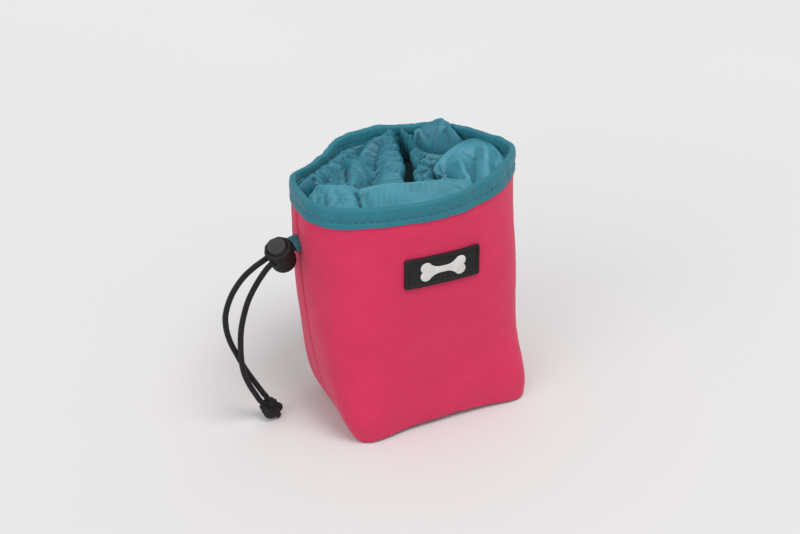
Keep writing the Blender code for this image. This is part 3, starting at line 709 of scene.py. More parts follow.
def quiet(point):
    """0 under the label and the clip's patch, where the cloth lies flat, and 1 elsewhere."""
    if point.y < 0:
        near = smooth(22.0, 34.0, abs(point.x - LABEL_CENTRE[0]))
        return max(near, smooth(10.0, 22.0, abs(point.z - LABEL_CENTRE[1])))
    near = smooth(20.0, 32.0, abs(point.x - BACK_CENTRE[0]))
    return max(near, smooth(29.0, 40.0, abs(point.z - BACK_CENTRE[1])))


def arch(point):
    """How far the slack lower edge lifts off the ground between the corners."""
    across = min(1.0, abs(point.x) / 44.0)
    lift = (1 - across**2.4) * (2.9 if point.y < 0 else 1.8)
    kink = 0.5 * bump(point.x, 7.0, 5.0) - 0.35 * bump(point.x, -4.0, 5.0)
    sides = smooth(8.0, 30.0, abs(point.y))
    return (lift + kink * (point.y < 0)) * sides


def soften(point, normal, wrinkle=1.0):
    """Moves a point of the plain shell to where the used pouch has it."""
    z = point.z
    angle = math.atan2(point.y - RIM_SETBACK * z / HEIGHT, point.x - section_at(z)[3])
    moved = point - normal * worn(RIM_PUSHES, angle, 4) * smooth(88.0, HEIGHT, z)
    moved.z -= worn(RIM_DIPS, angle, 4) * smooth(110.0, HEIGHT, z)

    around = Vector((math.cos(angle) * 5.0, math.sin(angle) * 5.0, 0.0))
    up_down = 0.45 * noise.noise(around) + 0.35 * noise.noise(around * 2.7)
    in_out = 0.55 * noise.noise(around * 1.9) + 0.4 * noise.noise(around * 5.0)
    moved.z += up_down * smooth(115.0, HEIGHT, z)
    moved -= normal * in_out * smooth(120.0, 136.0, z)
    moved.z += arch(point) * (1 - smooth(0.0, 62.0, z)) ** 1.5
    moved += normal * worn(CORNER_BULGES, angle, 2) * (1 - smooth(4.0, 44.0, z))

    fold = 1.1 * noise.noise(Vector((point.x / 46.0, point.y / 46.0, z / 60.0)))
    fold += 0.42 * noise.noise(Vector((point.x / 17.0, point.y / 17.0, z / 26.0 + 7.0)))
    fold += 0.13 * noise.noise(point / 6.5)
    fold += 0.9 * turn_bump(angle, -147.0, 10.0) * bump(z, 82.0, 26.0)
    fold -= 0.6 * turn_bump(angle, -160.0, 8.0) * bump(z, 84.0, 24.0)
    tight = 0.25 + 0.75 * smooth(2.0, 22.0, z)
    moved += normal * fold * quiet(point) * wrinkle * tight * (1 - 0.75 * smooth(118.0, 128.0, z))

    from_seam = math.remainder(angle, math.pi)
    moved -= normal * 0.8 * bump(from_seam, 0.0, 0.018) * (1 - smooth(124.0, 129.0, z))
    pucker = noise.noise(Vector((z / 2.6, point.x, 3.0)))
    return moved + normal * 0.22 * pucker * bump(from_seam, 0.0, 0.06)


def shell_rows(levels, inset, start, stop, columns):
    """Rows of softened points of the shell, and the cloth's own lengths."""
    rows = []
    for z, extra in levels:
        section = section_at(z)
        row = []
        for angle in outline_angles(z, start, stop, columns)[0]:
            point, normal = wall_point(angle, z, section)
            row.append(soften(point - normal * (inset + extra), normal))
        rows.append(row)
    return rows, reached(rows[len(rows) // 2]), reached([row[columns // 2] for row in rows])


def make_walls():
    """The front and back panels, each one sheet from side seam to side seam."""
    levels = [
        (WALL_FOOT * (1 - math.sin(t)), WALL_FOOT * (1 - math.cos(t))) for t in (1.35, 1.0, 0.66, 0.33)
    ]
    levels += [(WALL_FOOT + 0.02 + 126.0 * (i / 90) ** 1.08, 0.0) for i in range(91)]
    levels += [(z, 0.0) for z in (129.5, 131.5, 133.5, 135.5)]
    for name, node, start in (("front_wall", "front_panel", -math.pi), ("back_wall", "back_panel", math.pi)):
        rows, us, vs = shell_rows(levels, 0.0, start, 0.0, 150)
        wall = thicken(make_grid(name, rows, us, vs, PINK), PANEL)
        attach(wall, "pouch")
        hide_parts(node)


def make_floor_panel(name, node, level, inset, material):
    """A floor of the pouch, a sheet that meets the wall all round and arches up between."""
    angles = outline_angles(1.0, -math.pi, math.pi, 240)[0][:-1]
    rows = []
    for part in (1.0, 0.985, 0.96, 0.92, 0.86, 0.78, 0.68, 0.56, 0.43, 0.30, 0.17, 0.06):
        row = []
        for angle in angles:
            point, normal = wall_point(angle, 1.0)
            edge = point - normal * inset
            place = Vector((edge.x * part, edge.y * part, level))
            place.z += arch(edge) * part**1.3 + 2.0 * (1 - part**2)
            place.z += 0.5 * noise.noise(place / 13.0) * (1 - part**6)
            row.append(place)
        rows.append(row)
    blank = [0.0] * (len(angles) + 1)
    floor = make_grid(name, rows, blank, blank, material, loop_columns=True)
    shape = bmesh.new()
    shape.from_mesh(floor.data)
    hole = [edge for edge in shape.edges if edge.is_boundary and edge.verts[0].co.xy.length < 0.02]
    bmesh.ops.holes_fill(shape, edges=hole)
    bmesh.ops.recalc_face_normals(shape, faces=shape.faces)
    layer = shape.loops.layers.uv["cloth"]
    for face in shape.faces:
        for loop in face.loops:
            loop[layer].uv = loop.vert.co.xy
    shape.to_mesh(floor.data)
    shape.free()
    thicken(floor, FLOOR)
    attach(floor, "pouch")
    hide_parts(node)


def make_liner():
    heights = (3.0, 5.0, 9.0, 14.0, 22.0, 32.0, 45.0, 60.0, 76.0, 92.0, 106.0, 118.0, 127.0, 133.0, 136.0)
    rows, us, vs = shell_rows([(z, 0.0) for z in heights], LINER_INSET, -math.pi, math.pi, 220)
    liner = make_grid("liner", [row[:-1] for row in rows], us, vs, LINING, loop_columns=True)
    thicken(liner, LINER)
    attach(liner, "pouch")
    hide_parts("liner_wall")


def binding_profile():
    """The folded ribbon's section as (inset, height), a closed loop."""
    outer = [(-0.1, BINDING_LOW + 0.15), (-0.45, BINDING_LOW), (-0.8, BINDING_LOW + 0.25)]
    top = HEIGHT - (BINDING_IN + BINDING_OUT) / 2
    for i in range(15):
        outer.append((-BINDING_OUT, BINDING_LOW + 0.8 + (top - BINDING_LOW - 0.8) * i / 14))
    radius = (BINDING_IN + BINDING_OUT) / 2
    for i in range(1, 10):
        turn = math.pi * i / 10
        outer.append((-BINDING_OUT + radius * (1 - math.cos(turn)), top + radius * math.sin(turn)))
    for i in range(9):
        outer.append((BINDING_IN, top + (BINDING_INNER_LOW + 0.5 - top) * i / 8))
    outer += [(BINDING_IN - 0.15, BINDING_INNER_LOW + 0.1), (BINDING_IN - 0.5, BINDING_INNER_LOW)]
    inside = [(BINDING_IN - 0.6, BINDING_INNER_LOW + 0.4), (BINDING_IN - 0.6, top)]
    inside += [(0.9, top + radius - 0.7), (-0.25, top), (-0.15, BINDING_LOW + 1.0)]
    return outer + inside


def binding_point(inset, z, angle, at):
    """A point of the sewn ribbon, where at is the length along the rim."""
    outside, inside = inset < -0.3, inset > 1
    out = -inset
    pull = (0.32 + 0.13 * math.cos(2 * math.pi * at / STITCH_PITCH)) * bump(z, STITCH_HEIGHT, 0.75)
    out += -pull if outside else 0.5 * pull
    out += 0.16 * noise.noise(Vector((at / 4.5, z / 9.0, 1.0))) * (inside or outside)
    out += (outside - inside) * (0.22 * bump(z, 135.2, 2.2) + 0.12 * bump(z, 129.3, 1.1))
    first, last = BINDING_LAP
    lap = smooth(first, first + 0.008, angle) * (1 - smooth(last, last + 0.008, angle))
    out += lap * (0.35 if outside else -0.35)
    low_edge = bump(z, BINDING_LOW, 3.0)
    rise = (band_low(angle) - BINDING_INNER_LOW) * smooth(137.0, 130.5, z) * (inset > 1.4)
    rise += 1.1 * turn_bump(angle, -122.0, 42.0) * low_edge
    rise += 0.22 * noise.noise(Vector((at / 11.0, 5.0, 0.0))) * low_edge
    rise += 0.3 * noise.noise(Vector((at / 14.0, 9.0, 0.0))) * smooth(134.0, 139.0, z)
    point, normal = wall_point(angle, min(z, HEIGHT))
    point.z = z + rise
    return soften(point + normal * out, normal, 0.25)


def make_binding():
    """The ribbon folded over the rim, drawn in where it is stitched."""
    columns = 420
    profile = binding_profile()
    rows = []
    for inset, z in profile:
        angles, girth = outline_angles(min(z, HEIGHT), -math.pi, math.pi, columns)
        row = [binding_point(inset, z, angle, girth * i / columns) for i, angle in enumerate(angles[:-1])]
        rows.append(row)
    us = [330.0 * i / columns for i in range(columns + 1)]
    vs = reached([Vector(place) for place in profile + profile[:1]])
    binding = make_grid("rim_ribbon", rows, us, vs, TEAL_RIBBON, loop_rows=True, loop_columns=True)
    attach(binding, "pouch")
    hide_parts("rim_binding")
    places = []
    count = round(girth / STITCH_PITCH)
    for i in range(count):
        at = round(columns * (i + 0.5) / count)
        angle, ahead = angles[at % columns], angles[(at + 3) % columns]
        point, normal = wall_point(angle, STITCH_HEIGHT)
        along = (wall_point(ahead, STITCH_HEIGHT)[0] - point).normalized()
        places.append((soften(point + normal * (BINDING_OUT - 0.36), normal, 0.25), along, normal))
        point, normal = wall_point(angle, STITCH_HEIGHT + 0.9 + band_low(angle) - BINDING_INNER_LOW)
        places.append((soften(point - normal * (BINDING_IN - 0.02), normal, 0.25), along, -normal))
    stitches = make_stitches("rim_stitches", places, STITCH_PITCH * 0.62, 0.24, TEAL_THREAD)
    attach(stitches, "pouch")


# ---------------------------------------------------------------- the drawstring collar

# Fold lines of the collar's cloth as it lies in the used pouch, each a run of (x, y, z).
LEFT_FOLDS = (
    ((-50.5, 9, 123.4), (-49.5, 14, 122.6), (-48, 20, 123.4), (-45, 27, 129.2), (-33, 35.5, 131.2),
     (-22, 39, 131.6)),
    ((-22, 39, 131.6), (-12, 40, 132.2), (-4, 40.5, 134.4), (3, 40, 137)),
    ((-12, 33, 131.8), (-6, 35, 133), (-1, 36, 134.8)),
    ((-42, 24.5, 130.2), (-35, 31, 130.4), (-27, 35.5, 131)),
    ((-44, 16.5, 124.6), (-40, 20, 126.6), (-35, 23.5, 126.6), (-29, 28, 127.2)),
    ((-33, 17.5, 126.2), (-29.5, 20.5, 126), (-27, 25, 126.6)),
    ((-18.5, 39, 131.6), (-20, 30, 130.8), (-22.5, 22, 130.4), (-25, 14.5, 129.6), (-27, 8.5, 128)),
    ((-13, 35, 130.6), (-12, 28, 129.6), (-17, 18, 128.8), (-21, 11.5, 127.6)),
    ((-7, 29, 128.6), (-9, 22, 127.4), (-13, 14.5, 126.6), (-17.5, 7.5, 125.6)),
    ((-3, 33, 131.4), (-4, 25, 130.4), (-6, 17, 129.8), (-9, 9, 129.2), (-12, 3, 127.6)),
    ((-50, 5, 123.6), (-42, 2, 123.6), (-32, -4, 123.6), (-20, -10, 123.4), (-9, -15, 123)),
    ((-43, 10, 124.2), (-36, 6.5, 124.8), (-28, 1.5, 124.6), (-18, -3, 124.6), (-9, -6, 124.8)),
)
RIGHT_FOLDS = (
    ((15.5, 35, 134), (19, 34.4, 137), (24.6, 33, 139), (29.6, 29.8, 141.2), (33, 25.6, 140.2),
     (36, 21.8, 138.2), (39.6, 19.2, 133.4)),
    ((29.6, 29.8, 141.2), (28.8, 27.6, 139), (27.8, 25.2, 135.4), (27, 23, 131)),
    ((33, 25.6, 140.2), (32.6, 23.4, 137.2), (32, 21, 132.6)),
    ((36, 21.8, 138.2), (36.4, 19.6, 134), (36.6, 17.8, 130)),
    ((18, 31.8, 135), (21.6, 29.2, 135), (24, 26.4, 132.6)),
    ((15.5, 30, 129.6), (20, 26.4, 128.4), (25.5, 22, 127.8), (31, 18.4, 127.6), (36.5, 16.4, 128)),
    ((12.5, 20.5, 130.6), (17, 17.5, 130.4), (22, 15, 129.8), (27, 13.5, 128.2)),
    ((11, 13, 128.4), (15, 11, 128), (20, 9.6, 127.4)),
    ((8.5, 6.5, 130), (11, 5, 129.6), (13.5, 3.5, 128)),
    ((38, 19, 131), (43, 15.5, 130), (47, 12, 128)),
    ((8, -15, 123), (12, -8, 123.8), (17, -1, 124.4), (24, 4, 124.6), (32, 8, 124.8), (42, 8, 125)),
    ((5, -10, 124.4), (9, -3.5, 125.2), (14.5, 4.5, 126), (22, 10, 126), (30, 13.5, 126.4),
     (38, 16, 127.4)),
)
PUFF_FOLDS = (
    ((-52, 2, 127), (-50.4, 4.4, 128.2), (-48, 8.8, 129.5), (-45.4, 13, 129.8), (-42.8, 12.4, 130),
     (-39.4, 8.5, 130.5), (-35.7, 7.1, 131), (-32.4, 5, 131)),
    ((-52, -3, 126.4), (-49, -8, 126.8)),
    ((-50.5, -3, 126.6), (-44, -13, 127.2), (-33, -22, 127.4), (-19, -29, 127.8), (-3, -32, 127.8)),
    ((-3, -32, 127.8), (10, -32, 128), (23, -28, 128.2), (34, -21, 128.2), (44, -10, 128.6)),
    ((-43, 8, 130.4), (-41.1, 4.1, 130.2), (-40, 0.5, 130), (-40, -6, 128.8)),
    ((-37, 4.5, 131), (-35.9, 0.5, 130.8), (-36.5, -5, 129.4)),
    ((-32.6, 1.5, 131), (-32.6, -3, 130.2), (-34.5, -9, 128.8)),
    ((-29.4, 2.2, 130.2), (-29.6, -2.5, 128.4), (-30.4, -8, 127), (-31.5, -14, 126.6)),
    ((-26.5, -0.4, 130.3), (-22, -1.9, 131), (-15.4, -4.1, 131.5), (-9.2, -6.9, 131.7), (-1, -9, 131.7),
     (10, -12, 131.2)),
    ((-25.5, -6, 128.8), (-25, -12, 127.6), (-22, -19, 127.8)),
    ((-15, -9, 131.8), (-6, -14, 132), (4, -18, 131.6), (12, -20, 131)),
    ((-12, -18, 130.6), (0, -24, 130.4), (12, -26, 129.8)),
    ((14.5, -8, 130.4), (14, -3, 129.8), (16, 2, 130.2)),
    ((20, 3.4, 128.2), (21.2, -0.6, 127.4), (20.8, -5, 128.4), (19.6, -9.5, 129.6), (18.5, -14, 130.4)),
    ((24.6, 1.6, 132.8), (27, -1.6, 133.8), (26.4, -6.5, 133.2), (25.4, -12.5, 131.9), (24.2, -19, 130.2),
     (23, -24, 129.4)),
    ((38, 5, 131.4), (34, -2, 129.8), (30, -9, 128.6), (27, -16, 128), (27, -22, 128)),
    ((16, 2, 130.2), (23, 8, 132), (31, 11.8, 133.6), (39, 14.5, 134), (44, 12.5, 134.4), (48, 9.5, 132.6)),
    ((24, 4, 131.2), (31, 6.5, 132.4), (38, 9, 133.6)),
    ((44.5, 7.5, 134.8), (42.5, 0, 134), (39.5, -7, 132.4), (36, -14, 130.8)),
    ((48.5, 3, 133.4), (47.5, -4, 131.6), (44, -12, 129.8)),
)
# Sharp creases, and ridges where the depth is below nothing: a run of (x, y), depth and width.
LEFT_CREASES = (
    (((-24.5, 30), (-26.5, 22), (-28.5, 15), (-30, 9)), 1.7, 1.6),
    (((-8.5, 27), (-9.4, 22), (-12.4, 18)), 0.9, 1.1),
    (((-12, 15.5), (-16.5, 11), (-17.5, 7)), 1, 1.2),
    (((-20, 36), (-15, 29), (-12.4, 23.5)), -0.3, 1.5),
    (((-22, 20), (-19, 15), (-19.5, 9)), -0.6, 1.6),
    (((-44, 23), (-39, 21.5), (-34, 24)), 1.2, 1),
    (((-38, 17), (-34, 18), (-31, 21.5)), 1.1, 0.9),
    (((-36, 28.5), (-31, 31), (-26, 31.5)), 0.9, 1),
    (((-3, 27), (-7, 30.5), (-12, 33.5)), 0.8, 0.9),
    (((-4, 12), (-9, 13.5), (-12, 17)), 1, 0.9),
)
RIGHT_CREASES = (
    (((15, 30.4), (19.5, 26.6), (25.5, 22.2), (31, 18.6), (36.5, 16.6)), 2.2, 1.1),
    (((11, 13), (15, 11), (20, 9.6)), 1.4, 1.1),
    (((12.5, 17.5), (17, 14.5), (22.5, 13.4)), 0.9, 0.9),
    (((10.5, 9.5), (14, 7.4), (17, 7.4)), 0.9, 0.9),
    (((29.9, 30.4), (28.8, 27.5), (27.4, 23.8)), -0.7, 1.2),
    (((20.5, 33.4), (21.4, 29.6), (23.4, 26)), 0.9, 1.1),
    (((31.6, 27.6), (30.8, 24), (30.4, 21)), 0.8, 1),
)
PUFF_CREASES = (
    (((-29, 2.8), (-29.5, -2.5), (-30.3, -8), (-31.5, -14)), 1.7, 1.3),
    (((-26, -3), (-26.4, -8), (-28, -14)), 0.9, 2.2),
    (((24.4, 2.4), (27.2, -1.6), (26.5, -7), (25.4, -12.5), (24.2, -19)), -2.3, 1.3),
    (((20.4, 3), (21.4, 0), (21.8, -5), (21.6, -12)), 1.9, 1.7),
    (((39, 6.5), (34, -2), (30, -9), (27, -17)), 1.8, 1.7),
    (((44, 6.5), (42, 0), (39, -7)), -1, 1.8),
    (((13, -14), (16, -19), (17, -25)), 0.9, 1.4),
    (((-44.4, 6), (-45, 1), (-46.6, -4)), 0.8, 1.3),
    (((-38.6, 5.5), (-38.4, -1), (-40, -8)), 0.5, 1.5),
    (((33, 8), (37, 3), (39, -3)), 0.5, 1.2),
)
# The lips of the mouth from the front to the back: the rim direction that each place hangs from, x, y, z.
LEFT_LIP = (
    (190, -7, -16, 123), (176, -6.6, -9, 124.6), (162, -5.2, -2, 126.8), (149, -3.2, 4, 128.4),
    (136, -0.9, 9.5, 129.4), (122, 1.2, 16, 129.9), (106, 3, 24, 131.8), (93, 3.8, 30, 134.4),
    (85, 4.8, 35, 136.6), (77, 6.2, 38.6, 138.2),
)
RIGHT_LIP = (
    (-12, 1, -16, 123), (-1, 1.6, -10, 124.6), (9, 2.7, -4, 126.8), (19, 4.7, 2, 128.6), (29, 7.2, 8, 130),
    (39, 9.4, 15, 130.2), (49, 11.4, 22, 130.8), (57, 12.4, 27, 132.8), (63.5, 12.2, 32.2, 135),
    (70, 11.2, 37.6, 137.2),
)
# The puff's crest from the left to the right: the rim direction that each place hangs from, x, y.
CREST = (
    (-192, -52, 2), (-188, -50.4, 4.5), (-184, -48.3, 8.4), (-180, -45.8, 12.4), (-175, -43.2, 12.6),
    (-170, -41, 10.4), (-165, -38.2, 8), (-160, -35.2, 6.9), (-155, -32.2, 4.9), (-151, -29.6, 2.2),
    (-146, -26.5, -0.3), (-134, -19.5, -2.5), (-120, -11, -5.8), (-104, -1, -8.6), (-87, 10, -12),
    (-75, 14.4, -8.4), (-66, 14.2, -3), (-56, 16, 2), (-43, 23, 8), (-28, 31, 12), (-12, 39, 14.8),
    (0, 44, 13), (8, 48, 9.5),
)
# How the cloth turns under past an edge: its shift outwards, and its share of the fall.
LIP_CURL = (
    (-0.35, 0.10), (-0.45, 0.25), (-0.3, 0.42), (0.2, 0.6), (1.0, 0.76), (2.2, 0.89), (3.8, 0.97),
    (5.4, 1.0), (6.8, 0.94),
)
CREST_CURL = (
    (0.8, 0.05), (1.5, 0.15), (1.9, 0.32), (1.8, 0.5), (1.2, 0.7), (0.2, 0.85), (-1.4, 0.95),
    (-3.2, 1.0), (-5.0, 1.0),
)


def fold_field(lines, spacing=3.5, softness=3.0):
    """A smooth height over (x, y) that passes through every fold line."""
    knots = []
    for line in lines:
        points = [Vector(point) for point in line]
        count = max(2, round(reached(points)[-1] / spacing) + 1)
        knots += smooth_route(points, count)
    places = np.array([(p.x, p.y) for p in knots])
    heights = np.array([p.z for p in knots])
    apart = np.linalg.norm(places[:, None] - places[None], axis=2)
    kernel = -np.sqrt(apart**2 + softness**2)
    size = len(places)
    system = np.zeros((size + 1, size + 1))
    system[:size, :size] = kernel + 0.12 * np.eye(size)
    system[:size, size] = system[size, :size] = 1.0
    weights = np.linalg.solve(system, np.append(heights, 0.0))

    def height(x, y):
        away = np.sqrt((places[:, 0] - x) ** 2 + (places[:, 1] - y) ** 2 + softness**2)
        return float(weights[size] - weights[:size] @ away)

    return height


def crease_depth(creases, x, y):
    """How far the creases take a place down."""
    total = 0.0
    for line, depth, width in creases:
        nearest, along = 1e9, 0.0
        for k, ((ax, ay), (bx, by)) in enumerate(zip(line, line[1:])):
            dx, dy = bx - ax, by - ay
            part = min(1.0, max(0.0, ((x - ax) * dx + (y - ay) * dy) / (dx * dx + dy * dy)))
            away = math.hypot(x - ax - part * dx, y - ay - part * dy)
            if away < nearest:
                nearest, along = away, (k + part) / (len(line) - 1)
        if nearest < 3.5 * width:
            ends = smooth(0.0, 0.25, along) * smooth(1.0, 0.75, along)
            total += depth * math.exp(-((nearest / width) ** 2)) * (0.25 + 0.75 * ends)
    return total


def band_low(angle):
    """The height of the inner band's lower edge: it shows less of itself at the back."""
    return BINDING_INNER_LOW + 2.0 * smooth(-0.3, 0.5, math.sin(angle))


def rim_edge(angle, inset, z):
    point, normal = wall_point(angle, min(z, HEIGHT))
    return soften(point - normal * inset, normal, 0.25)


def from_band(angle):
    """Where the collar's cloth comes out from under the inner band: two points inside it, and the next."""
    low = band_low(angle)
    tucked = [rim_edge(angle, 1.9, low + 1.4), rim_edge(angle, 2.3, low - 0.4)]
    return tucked, rim_edge(angle, 3.3, low - 0.3), low - 0.3


def course_between(table, count):
    """Evenly spaced places on a smooth curve through a table: (x and y, direction and height, length)."""
    knots = [Vector(row[1:3]).to_3d() for row in table]
    extra = [[row[0], *(row[3:] or (0.0,))] for row in table]
    curve = curve_through(knots, 16)
    extras = [[p + (q - p) * t for p, q in zip(extra[k], extra[k + 1])] for _, k, t in curve]
    found = []
    for step, part, along in walk(reached([place for place, _, _ in curve]), count):
        place = curve[step][0].lerp(curve[step + 1][0], part)
        found.append((place, [p + (q - p) * part for p, q in zip(extras[step], extras[step + 1])], along))
    return found


def pleat(along, seed):
    """Gathers along a length: 1 on a round crest, -1 in a sharp valley, and how strong here."""
    phase = along / PLEAT_PITCH + 1.3 * noise.noise(Vector((along / 8.0, seed, 0.0)))
    strength = 0.95 + 0.8 * noise.noise(Vector((along / 5.0, seed, 5.0)))
    return 2 * abs(math.sin(math.pi * phase)) ** 0.6 - 1.15, strength


def holder(lines, edge, ends):
    """How firmly cloth is held: at the rim, between the columns named by edge, and at its end lines."""

    def held(i, j):
        at_ends = max(smooth(ends, 1.0, i), smooth(lines - ends - 1.0, lines - 2.0, i))
        return max(smooth(9.0, 2.0, j), smooth(*edge, j), at_ends)

    return held


def half_row(place, bearing, lip_z, along, height, creases, outward, seed, columns):
    """One line of a half's cloth, from the band to the lip of the mouth and round the cord."""
    angle = math.radians(bearing)
    row, start, low = from_band(angle)
    lip = Vector((place.x, place.y, lip_z))
    gather, strong = pleat(along, seed)
    length = (lip - start).length
    from_peak = math.remainder(angle - math.radians(PEAK_BEARING), 2 * math.pi)
    over = bump(from_peak, 0.0, math.radians(PEAK_SPREAD)) * (seed == RIGHT_SEED)
    for j in range(columns + 1):
        part = j / columns
        part = part + 0.35 * part * (1 - part) * (part - 0.35)
        point = start.lerp(lip, part)
        from_rim, from_lip = part * length, (1 - part) * length
        clear = smooth(0.0, 6.0, from_rim)
        z = height(point.x, point.y) - crease_depth(creases, point.x, point.y)
        level = z + (lip_z - z) * smooth(4.0, 0.0, from_lip)
        point.z = low + (level - low) * smooth(0.0, 6.0 - 4.6 * over, from_rim)
        reach = 6.0 + 2.5 * noise.noise(Vector((along / 4.0, seed, 9.0)))
        fade = math.exp(-from_lip / reach) * strong
        near_rim = math.exp(-from_rim / 4.0) * noise.noise(Vector((bearing / 4.0, seed, 2.0)))
        point.z += PLEAT_RISE * fade * gather + 1.2 * near_rim * smooth(0.0, 2.0, from_rim) * (1 - over)
        wander = 1.6 * noise.noise(Vector((along / 7.5, seed, 12.0))) - 0.4
        point -= outward * (PLEAT_SWING * fade * (gather - 0.5) + wander * math.exp(-from_lip / 6.0))
        wave = noise.noise(Vector((along / 6.0 + from_lip / 12.0, from_lip / 16.0, seed)))
        ridge = noise.noise(Vector((along / 8.0 + from_lip / 25.0, from_lip / 22.0, seed + 4.0)))
        crumple = 1.0 * wave + 0.7 * (0.5 - 2 * abs(ridge))
        point.z += crumple * clear * (0.35 + 0.65 * math.exp(-from_lip / 20.0))
        if over > 0.05:
            lift = smooth(138.0, 141.0, point.z) * 1.6 * over
            point += Vector((point.x, point.y, 0.0)).normalized() * lift
        row.append(point)
    last = row[-1]
    drop = max(2.0, last.z - LIP_UNDERSIDE)
    for shift, fall in LIP_CURL:
        hang = last + outward * (shift - 1.2 * gather * strong * (1 - fall) ** 0.5)
        hang.z = last.z - drop * fall
        row.append(hang)
    return row


def make_half(name, table, folds, creases, side, seed):
    """One side of the collar, gathered on the drawcord along the mouth."""
    height = fold_field(folds + (tuple(tuple(row[1:]) for row in table),))
    outward = mouth_point(side, 0.0) - mouth_point(0.0, 0.0)
    lines, columns = 170, 74
    rows = [
        half_row(place, bearing, lip_z, along, height, creases, outward, seed, columns)
        for place, (bearing, lip_z), along in course_between(table, lines)
    ]
    us, vs = reached(rows[lines // 2]), reached([row[columns // 2] for row in rows])
    rows = settle(rows, holder(lines, (columns - 4.0, columns + 2.0), 6.0), 0.05)
    # The darker copy of the collar cloth, painted shade.
    return make_grid(name, rows, us, vs, TEAL)


def make_puff():
    """The slack front of the collar, which folds over the mouth's front end."""
    height = fold_field(PUFF_FOLDS)
    lines, columns = 230, 64
    rows = []
    for place, (bearing, _), _ in course_between(CREST, lines):
        row, start, low = from_band(math.radians(bearing))
        crest = Vector((place.x, place.y, start.z))
        length = (crest - start).length
        for j in range(columns + 1):
            part = j / columns
            clear = smooth(0.0, 6.0, part * length)
            point = start.lerp(crest, part)
            z = height(point.x, point.y) - crease_depth(PUFF_CREASES, point.x, point.y)
            point.z = low + (z - low) * clear
            point.z += 0.45 * noise.noise(Vector((point.x / 15.0, point.y / 15.0, 3.0))) * clear
            row.append(point)
        last = row[-1]
        out = (crest - start).normalized()
        drop = last.z - CREST_UNDERSIDE + 3.2 * smooth(-36.0, -44.0, last.x)
        for shift, fall in CREST_CURL:
            hang = last + out * shift
            hang.z = last.z - drop * fall
            row.append(hang)
        rows.append(row)
    rows = settle(rows, holder(lines, (columns + 2.0, columns + 6.0), 5.0), 0.04, 5, 4)
    us, vs = reached(rows[lines // 2]), reached([row[columns // 2] for row in rows])
    # The lighter copy of the collar cloth, painted light.
    return make_grid("collar_front", rows, us, vs, TEAL_PAINTED_LIT)


CLOTH_SETTINGS = {
    "quality": 6,
    "mass": 0.3,
    "tension_stiffness": 25.0,
    "compression_stiffness": 25.0,
    "shear_stiffness": 10.0,
    "bending_stiffness": 2.0,
    "air_damping": 5.0,
    "vertex_group_mass": "held",
}
SETTLE_FRAMES = 16
MOST_SETTLING = 2.6


def settle(rows, holds, grow, line_step=4, column_step=3):
    """Lets held cloth buckle where it has a little more cloth than its shape needs.

    A coarse copy of the rows settles as cloth, ten times as large as life so that the solver's
    own tolerances don't matter, and every point of the rows then moves as the copy did there.
    """
    lines = sorted({*range(0, len(rows), line_step), len(rows) - 1})
    columns = sorted({*range(0, len(rows[0]), column_step), len(rows[0]) - 1})
    scale = 10.0 * MM
    points = [tuple(rows[i][j] * scale) for i in lines for j in columns]
    width = len(columns)
    corners = [i * width + j for i in range(len(lines) - 1) for j in range(width - 1)]
    faces = [(first, first + 1, first + width + 1, first + width) for first in corners]
    mesh = bpy.data.meshes.new("settling")
    mesh.from_pydata(points, [], faces)
    thing = link("settling", mesh)
    group = thing.vertex_groups.new(name="held")
    for k, (i, j) in enumerate((i, j) for i in lines for j in columns):
        group.add([k], holds(i, j), "REPLACE")
    cloth = thing.modifiers.new("settle", "CLOTH")
    for key, value in CLOTH_SETTINGS.items():
        setattr(cloth.settings, key, value)
    cloth.settings.shrink_min = -grow
    cloth.settings.effector_weights.gravity = 0.0
    cloth.collision_settings.use_collision = False
    cloth.collision_settings.use_self_collision = False
    cloth.point_cache.frame_start = 1
    cloth.point_cache.frame_end = SETTLE_FRAMES
    scene = bpy.context.scene
    for number in range(1, SETTLE_FRAMES + 1):
        scene.frame_set(number)
    settled = thing.evaluated_get(bpy.context.evaluated_depsgraph_get()).data
    shifts = [(vert.co - Vector(point)) / scale for point, vert in zip(points, settled.vertices)]
    scene.frame_set(1)
    bpy.data.objects.remove(thing)
    moved = [shift * min(1.0, MOST_SETTLING / max(shift.length, 1e-9)) for shift in shifts]
    return [
        [point + between_lines(moved, lines, columns, i, j) for j, point in enumerate(row)]
        for i, row in enumerate(rows)
    ]


def between_lines(moved, lines, columns, i, j):
    """The shift at a place of the fine rows, from those at the corners round it."""
    low = max(k for k in range(len(lines) - 1) if lines[k] <= i)
    left = max(k for k in range(len(columns) - 1) if columns[k] <= j)
    up = (i - lines[low]) / (lines[low + 1] - lines[low])
    over = (j - columns[left]) / (columns[left + 1] - columns[left])
    up, over = up * up * (3 - 2 * up), over * over * (3 - 2 * over)
    width = len(columns)
    first = low * width + left
    near = moved[first].lerp(moved[first + 1], over)
    far = moved[first + width].lerp(moved[first + width + 1], over)
    return near.lerp(far, up)


RIGHT_SEED = 8.0


def make_collar():
    """The slack front and the two gathered sides."""
    puff = thicken(make_puff(), NYLON)
    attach(puff, "pouch")
    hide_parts("collar")
    for name, table, folds, creases, side, seed in (
        ("collar_left", LEFT_LIP, LEFT_FOLDS, LEFT_CREASES, -1, 1.0),
        ("collar_right", RIGHT_LIP, RIGHT_FOLDS, RIGHT_CREASES, 1, RIGHT_SEED),
    ):
        half = make_half(name, table, folds, creases, side, seed)
        make_final(thicken(half, NYLON))
        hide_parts("casing_left" if side < 0 else "casing_right")
        start, end = mouth_point(side * 36.0, 0.0), mouth_point(side * 9.0, 0.0)
        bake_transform(half)


